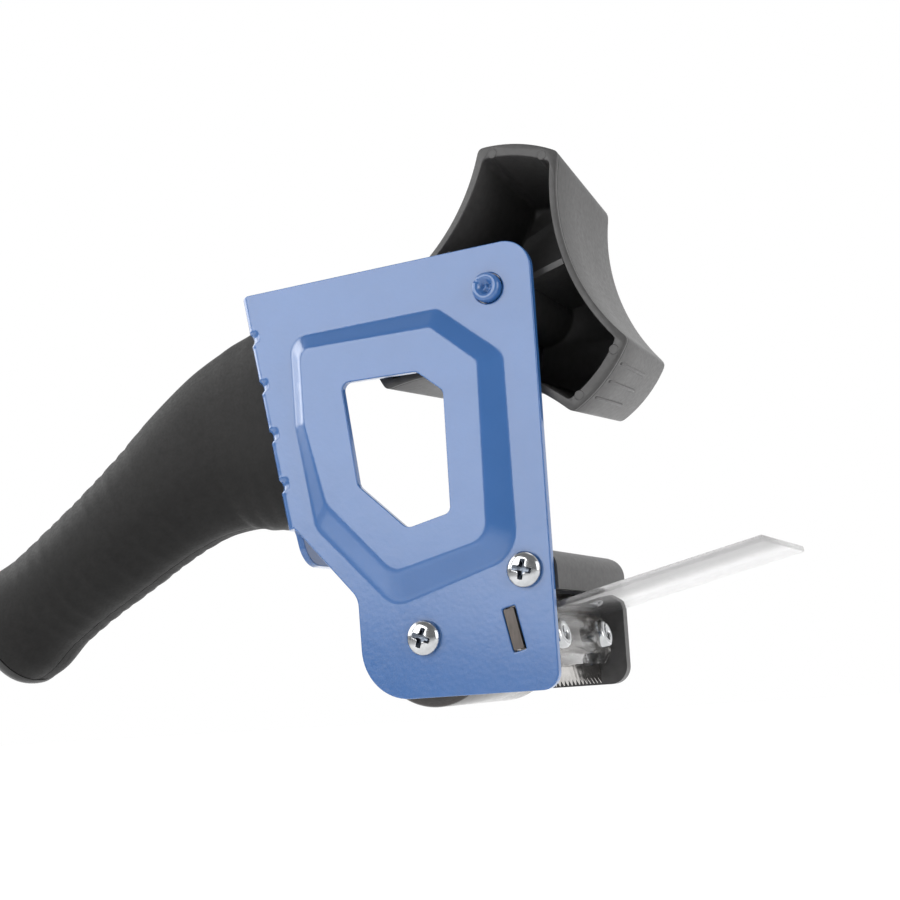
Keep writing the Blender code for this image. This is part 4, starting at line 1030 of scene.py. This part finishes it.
BLADE = surface("ground_blade_steel", (0.48, 0.46, 0.44), (0.62, 0.60, 0.58), (0.10, 0.20), metallic=1.0, tone_scale=30.0,
                tone_detail=5.0, grain=((50.0, 0.000006, 5.0),), rough_scale=60.0, stretch=(20.0, 4.0, 20.0))
blade = to_object("serrated_blade_ground", bm, BLADE)
for y in SCREW_YS:
    cut(blade, across(2.0, y, -1.0, 3.0))
crease(blade, 20)
dress(blade, "frame", "bare_steel", "serrated_blade")

# clear flap: one moulded L, thick leg and thin tongue
LEG_N0, LEG_N1, TOP_T = 1.9, 5.85, -3.8
low_t = TOP_T + FLAP_T
path = rounded([(LEG_N0, TOP_T, 1.2), (FLAP_TIP_N, TOP_T, 0.3), (FLAP_TIP_N, low_t, 0.3), (LEG_N1, low_t, 0.9), (LEG_N1, 8.2, 0.3),
                (LEG_N1 - 2.3, 10.5, 0.3), (LEG_N0, 10.5, 0.3)], steps=6)
# extra stations where the tongue bends
full = []
for i, p in enumerate(path):
    q = path[(i + 1) % len(path)]
    full.append(p)
    if abs(p[1] - q[1]) < 1e-6 and abs(q[0] - p[0]) > 20:
        ns = [5.6, 6.2, 6.8, 7.4, 8.0, 8.7, 9.5, 10.5, 14.0, 22.0, 32.0, 42.0, 52.0, 60.0]
        if q[0] < p[0]:
            ns = ns[::-1]
        full += [(v, p[1]) for v in ns if min(p[0], q[0]) + 0.2 < v < max(p[0], q[0]) - 0.2]
flap = to_object("clear_flap", leaning(full, FLAP_Y0, FLAP_Y1), CLEAR)
for y in SCREW_YS:
    cut(flap, across(1.95, y, 0.0, 8.0))
b = flap.modifiers.new("edge_radius", 'BEVEL')
b.width, b.segments, b.limit_method, b.angle_limit = 0.00018, 2, 'ANGLE', math.radians(50)
freeze(flap)
# tongue faces take the greyer acrylic, painted shade
flap.data.materials.append(TONGUE_PAINTED_SHADE)
for p in flap.data.polygons:
    p.use_smooth = True
    c = p.center * 1000.0 - OFF
    if c.x > tilted(9.5, TOP_T)[0]:
        p.material_index = 1
crease(flap, 30)
hx, hz = tilted(6.05, TOP_T + FLAP_T / 2)
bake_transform(flap)
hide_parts("flap_leg", "flap_tongue")

for i, y in enumerate(SCREW_YS):
    tag = ("near", "far")[i]
    thread = []
    nn = -4.2
    while nn < 5.4:
        thread += [(1.6, nn + 0.35), (1.38, nn + 0.175)]
        nn += 0.35
    thread = sorted(thread, key=lambda q: -q[1])
    prof = [(0, 7.5), (1.25, 7.5), (1.42, 7.62), (1.55, 8.5), (1.8, 8.85), (2.2, 9.0), (2.9, 9.0), (3.4, 8.85), (3.75, 8.5), (3.88, 8.1), (3.9, 7.5),
            (3.9, 6.3), (3.8, 6.12), (3.6, 6.1), (1.6, 6.1)] + thread + [(1.3, -4.6), (0, -4.6)]
    ob = crease(to_object("flap_screw_%s_ring" % tag, place(turned(prof, 0, 0, 72), across_matrix(y)), ZINC), 35)
    dress(ob, "frame", "zinc_steel", "flap_screw_" + tag)

# ---------------------------------------------------------------- handle
STATIONS = [(0.4, 0.0, 17.5, 31.0, 3.2), (4.0, 0.2, 17.3, 30.8, 3.0), (10.0, 0.6, 16.6, 30.2, 2.7), (18.0, 0.9, 15.6, 28.8, 2.5),
            (28.0, 0.3, 14.8, 26.4, 2.35), (42.0, -3.0, 14.8, 23.0, 2.3), (58.0, -9.0, 15.4, 20.0, 2.3),
            (74.0, -15.4, 15.8, 18.4, 2.3), (90.0, -21.2, 15.4, 17.4, 2.3), (104.0, -26.6, 15.0, 17.2, 2.3),
            (114.0, -30.6, 15.4, 18.6, 2.4), (120.0, -33.0, 15.0, 18.2, 2.4)]


def station(u):
    """Smoothly interpolated station at fractional index u."""
    i = min(int(u), len(STATIONS) - 2)
    f = u - i
    p0, p1 = STATIONS[max(i - 1, 0)], STATIONS[i]
    p2, p3 = STATIONS[i + 1], STATIONS[min(i + 2, len(STATIONS) - 1)]
    out = []
    for a, b, c, d in zip(p0, p1, p2, p3):
        if i == 0:
            a = 2 * b - c if f > 0 else b
        out.append(0.5 * (2 * b + (c - a) * f + (2 * a - 5 * b + 4 * c - d) * f * f + (3 * b - a - 3 * c + d) * f ** 3))
    lo = min(p1[0], p2[0])
    hi = max(p1[0], p2[0])
    out[0] = p1[0] + (p2[0] - p1[0]) * f if not lo <= out[0] <= hi else out[0]
    for k in (2, 3):
        out[k] = min(max(out[k], min(p1[k], p2[k]) - 0.0), max(p1[k], p2[k]))
    return out


def half_shell(side, wall=2.6, n=44, sub=8):
    bm = bmesh.new()
    rings = []
    total = (len(STATIONS) - 1) * sub
    stations = [station(j / sub) for j in range(total + 1)]
    for j, (x, z, hw, hh, power) in enumerate(stations):
        pa, pb = stations[max(j - 1, 0)], stations[min(j + 1, total)]
        d = Vector((pb[0] - pa[0], 0.0, pb[1] - pa[1])).normalized()
        if j == 0:
            d = Vector((1, 0, 0))
        up = Vector((-d.z, 0.0, d.x))
        outer, inside = [], []
        m = n // 2
        for k in range(m + 1):
            t = -math.pi / 2 + math.pi * k / m
            c, s = math.cos(t), math.sin(t)
            y = hw * abs(c) ** (2 / power)
            v = hh * math.copysign(abs(s) ** (2 / power), s)
            # shallow ribs round the grip between its waist and its butt
            groove = 0.0
            if 46 < x < 106:
                ph = (x - 46) / 5.0
                e = abs((ph % 1.0) - 0.5)
                fade = min(1.0, (x - 46) / 4.0, (106 - x) / 4.0)
                groove = 0.42 * max(0.0, 1 - (e / 0.20) ** 2) * fade * (0.35 + 0.65 * min(1.0, abs(c) * 1.6))
            seam = 0.28 * math.exp(-((abs(y)) / 0.55) ** 2)
            sc = 1.0 - (groove + seam) / 16.0
            y, v = y * (1 - groove / 16.0), v * sc
            yi = max((hw - wall) * abs(c) ** (2 / power), 0.0)
            vi = (hh - wall) * math.copysign(abs(s) ** (2 / power), s)
            outer.append(Vector((x, side * (max(y, 0) + 0.12), z)) + up * v)
            inside.append(Vector((x, side * (yi + 0.12), z)) + up * vi)
        rings.append([bm.verts.new(p) for p in outer] + [bm.verts.new(p) for p in inside[::-1]])
    for a, b in zip(rings, rings[1:]):
        bridge(bm, a, b)
    for ring in (rings[0], rings[-1]):
        half = len(ring) // 2
        for k in range(half - 1):
            bm.faces.new((ring[k], ring[k + 1], ring[-2 - k], ring[-1 - k]))
    return bm


left = to_object("handle_shell_far_grip", place(half_shell(-1), HM), GRIP_WITH_PAINTED_SHADE)
right = to_object("handle_shell_near_grip", place(half_shell(1), HM), GRIP_WITH_PAINTED_SHADE)
for x, z in ((33.0, -5.2), (78.0, -17.4)):
    mm = HM @ Matrix.Translation((x, 0, z))
    cut(left, place(turned([(3.6, -30), (3.6, -12.9), (1.75, -12.9), (1.75, 6), (0, 6), (0, -30)], 0, 0, 48, 0.03), mm.copy()))
    cut(right, place(turned([(1.75, -30), (1.75, 13.6), (0, 13.6), (0, -30)], 0, 0, 40, 0.03), mm.copy()))
for ob, tag in ((left, "far"), (right, "near")):
    crease(ob, 38)
    dress(ob, "frame", "black_grip", "handle_shell_" + tag)

bm = bmesh.new()
last = STATIONS[-1]
prev_s = STATIONS[-2]
dd = Vector((last[0] - prev_s[0], 0.0, last[1] - prev_s[1])).normalized()
uu = Vector((-dd.z, 0.0, dd.x))
rings = []
for dist, shrink in ((-6.0, 3.1), (0.3, 3.1), (0.36, 0.6), (0.5, 0.15), (0.8, 0.0), (2.2, 0.2), (3.2, 0.7), (4.1, 1.5), (4.8, 2.6), (5.25, 3.8), (5.4, 5.2),
                     (5.4, 8.4), (5.2, 8.8), (4.7, 9.0), (4.6, 9.4)):
    c0 = Vector((last[0], 0, last[1])) + dd * dist
    ring = []
    for k in range(72):
        t = 2 * math.pi * k / 72
        c, s = math.cos(t), math.sin(t)
        ring.append(bm.verts.new(c0 + Vector((0, (last[2] - shrink) * math.copysign(abs(c) ** (2 / last[4]), c), 0)) +
                                 uu * ((last[3] - shrink) * math.copysign(abs(s) ** (2 / last[4]), s))))
    rings.append(ring)
for a, b in zip(rings, rings[1:]):
    bridge(bm, a, b)
bm.faces.new(rings[0])
bm.faces.new(rings[-1])
cap = crease(to_object("butt_cap_moulding", place(bm, HM), BLACK), 45)
dress(cap, "frame", "black_plastic", "butt_cap")

# ---------------------------------------------------------------- CAD nodes that stay
KEPT = {"hub_bush_near": NYLON, "hub_bush_far": NYLON, "friction_washer": FELT, "pressure_washer": ZINC, "knob_nut": BRASS,
        "roller_bush_near": NYLON, "roller_bush_far": NYLON, "roller_axle": STEEL, "tie_bar": STEEL,
        "flap_nut_near": ZINC, "flap_nut_far": ZINC, "handle_tang": STEEL, "handle_bolt_upper": ZINC, "handle_bolt_lower": ZINC,
        "handle_washer_upper": ZINC, "handle_washer_lower": ZINC, "handle_nut_upper": ZINC, "handle_nut_lower": ZINC,
        "shell_screw_front": ZINC, "shell_screw_rear": ZINC}
for name, mat in KEPT.items():
    ob = frame["nodes"][name]
    if not ob.material_slots:
        ob.data.materials.append(mat)
    for s in ob.material_slots:
        s.material = mat
    if name in ("flap_nut_near", "flap_nut_far", "handle_tang", "handle_nut_upper", "handle_nut_lower", "knob_nut"):
        b = ob.modifiers.new("edge_radius", 'BEVEL')
        b.width, b.segments, b.limit_method, b.angle_limit = 0.0002, 2, 'ANGLE', math.radians(40)

# ---------------------------------------------------------------- camera
cam_data = bpy.data.cameras.new("camera")
cam = bpy.data.objects.new("camera", cam_data)
scene.collection.objects.link(cam)
cam_data.sensor_width = 36.0
cam_data.lens = 55.45
cam_data.clip_start = 0.01
cam_data.clip_end = 50.0
right_v = Vector((0.89688, 0.43681, -0.06925))
up_v = Vector((0.13469, -0.12063, 0.98352))
fwd_v = Vector((-0.42126, 0.89143, 0.16702))
rot = Matrix((right_v, up_v, -fwd_v)).transposed().to_4x4()
rot.translation = world((137.084, -319.894, -100.743))
cam.matrix_world = rot
scene.camera = cam

# ---------------------------------------------------------------- floor
bm = bmesh.new()
size, div = 9.0, 6
grid = [[bm.verts.new((-size + 2 * size * i / div, -size + 2 * size * j / div, -0.25)) for i in range(div + 1)] for j in range(div + 1)]
for j in range(div):
    for i in range(div):
        bm.faces.new((grid[j][i], grid[j][i + 1], grid[j + 1][i + 1], grid[j + 1][i]))
me = bpy.data.meshes.new("floor")
bm.to_mesh(me)
bm.free()
floor = bpy.data.objects.new("floor", me)
scene.collection.objects.link(floor)
mat = bpy.data.materials.new("pale_floor_painted_glow")
mat.use_nodes = True
nt_ = mat.node_tree
nt_.nodes.clear()
out = nt_.nodes.new("ShaderNodeOutputMaterial")
sh = nt_.nodes.new("ShaderNodeBsdfPrincipled")
co = nt_.nodes.new("ShaderNodeTexCoord")
ns = nt_.nodes.new("ShaderNodeTexNoise")
ns.inputs["Scale"].default_value = 3.0
nt_.links.new(co.outputs["Object"], ns.inputs["Vector"])
mx = nt_.nodes.new("ShaderNodeMix")
mx.data_type = 'RGBA'
mx.inputs[6].default_value = (0.90, 0.90, 0.90, 1)
mx.inputs[7].default_value = (0.93, 0.93, 0.93, 1)
nt_.links.new(ns.outputs["Fac"], mx.inputs[0])
nt_.links.new(mx.outputs[2], sh.inputs["Base Color"])
sh.inputs["Roughness"].default_value = 0.9
sh.inputs["Specular IOR Level"].default_value = 0.0
# the floor glows: painted light, no emission at the front, rising to 0.75 towards +Y
sh.inputs["Emission Color"].default_value = (1, 1, 1, 1)
fy = nt_.nodes.new("ShaderNodeSeparateXYZ")
nt_.links.new(co.outputs["Object"], fy.inputs[0])
fr = nt_.nodes.new("ShaderNodeMapRange")
fr.inputs["From Min"].default_value = 0.1
fr.inputs["From Max"].default_value = 1.3
fr.inputs["To Min"].default_value = 0.0
fr.inputs["To Max"].default_value = 0.75
nt_.links.new(fy.outputs["Y"], fr.inputs["Value"])
nt_.links.new(fr.outputs["Result"], sh.inputs["Emission Strength"])
tr = nt_.nodes.new("ShaderNodeBsdfTransparent")
geo = nt_.nodes.new("ShaderNodeNewGeometry")
ms = nt_.nodes.new("ShaderNodeMixShader")
nt_.links.new(geo.outputs["Backfacing"], ms.inputs[0])
nt_.links.new(sh.outputs[0], ms.inputs[1])
nt_.links.new(tr.outputs[0], ms.inputs[2])
nt_.links.new(ms.outputs[0], out.inputs["Surface"])
me.materials.append(mat)

# ---------------------------------------------------------------- light
world_data = bpy.data.worlds.new("studio")
scene.world = world_data
world_data.use_nodes = True
wt = world_data.node_tree
wt.nodes.clear()
wo = wt.nodes.new("ShaderNodeOutputWorld")
wc = wt.nodes.new("ShaderNodeTexCoord")
sx = wt.nodes.new("ShaderNodeSeparateXYZ")
wt.links.new(wc.outputs["Generated"], sx.inputs[0])
mr = wt.nodes.new("ShaderNodeMapRange")
mr.interpolation_type = 'SMOOTHSTEP'
mr.inputs["From Min"].default_value = -0.45
mr.inputs["From Max"].default_value = 0.45
mr.inputs["To Min"].default_value = 0.26
mr.inputs["To Max"].default_value = 1.05
wt.links.new(sx.outputs["Y"], mr.inputs["Value"])
bg = wt.nodes.new("ShaderNodeBackground")
wt.links.new(mr.outputs["Result"], bg.inputs["Color"])
bg_cam = wt.nodes.new("ShaderNodeBackground")
bg_cam.inputs["Color"].default_value = (1, 1, 1, 1)
bg_cam.inputs["Strength"].default_value = 1.0
lp_node = wt.nodes.new("ShaderNodeLightPath")
wm = wt.nodes.new("ShaderNodeMixShader")
wt.links.new(lp_node.outputs["Is Camera Ray"], wm.inputs[0])
wt.links.new(bg.outputs[0], wm.inputs[1])
wt.links.new(bg_cam.outputs[0], wm.inputs[2])
wt.links.new(wm.outputs[0], wo.inputs["Surface"])

scene.view_settings.view_transform = 'Standard'
scene.view_settings.look = 'None'
scene.view_settings.exposure = 0.0
scene.view_settings.gamma = 1.0


def area(name, direction, distance, size, power, target=(-25.0, 20.0, -45.0), colour=(1, 1, 1), roll=0.0):
    data = bpy.data.lights.new(name, 'AREA')
    data.shape = 'RECTANGLE'
    data.size, data.size_y = size
    data.energy = power
    data.color = colour
    ob = bpy.data.objects.new(name, data)
    scene.collection.objects.link(ob)
    d = Vector(direction).normalized()
    t = world(target)
    ob.location = t + d * distance
    z = d
    x = Vector((0, 0, 1)).cross(z)
    if x.length < 1e-3:
        x = Vector((1, 0, 0))
    x.normalize()
    y = z.cross(x)
    m = Matrix((x, y, z)).transposed().to_4x4() @ Matrix.Rotation(math.radians(roll), 4, 'Z')
    m.translation = ob.location
    ob.matrix_world = m
    ob.visible_camera = False
    return ob


area("key_softbox", (-0.457, -0.791, 0.362), 1.2, (0.95, 0.86), 8.9, target=(-30.0, 0.0, -40.0), roll=-15.0)
area("left_softbox", (-1.0, -0.12, 0.47), 1.3, (0.9, 0.8), 7.0, target=(-30.0, 0.0, -40.0))
area("fill_softbox", (1.0, -0.38, 0.22), 1.4, (0.8, 0.9), 8.0)
area("top_softbox", (0.15, 0.25, 1.0), 1.1, (0.9, 0.9), 3.0)
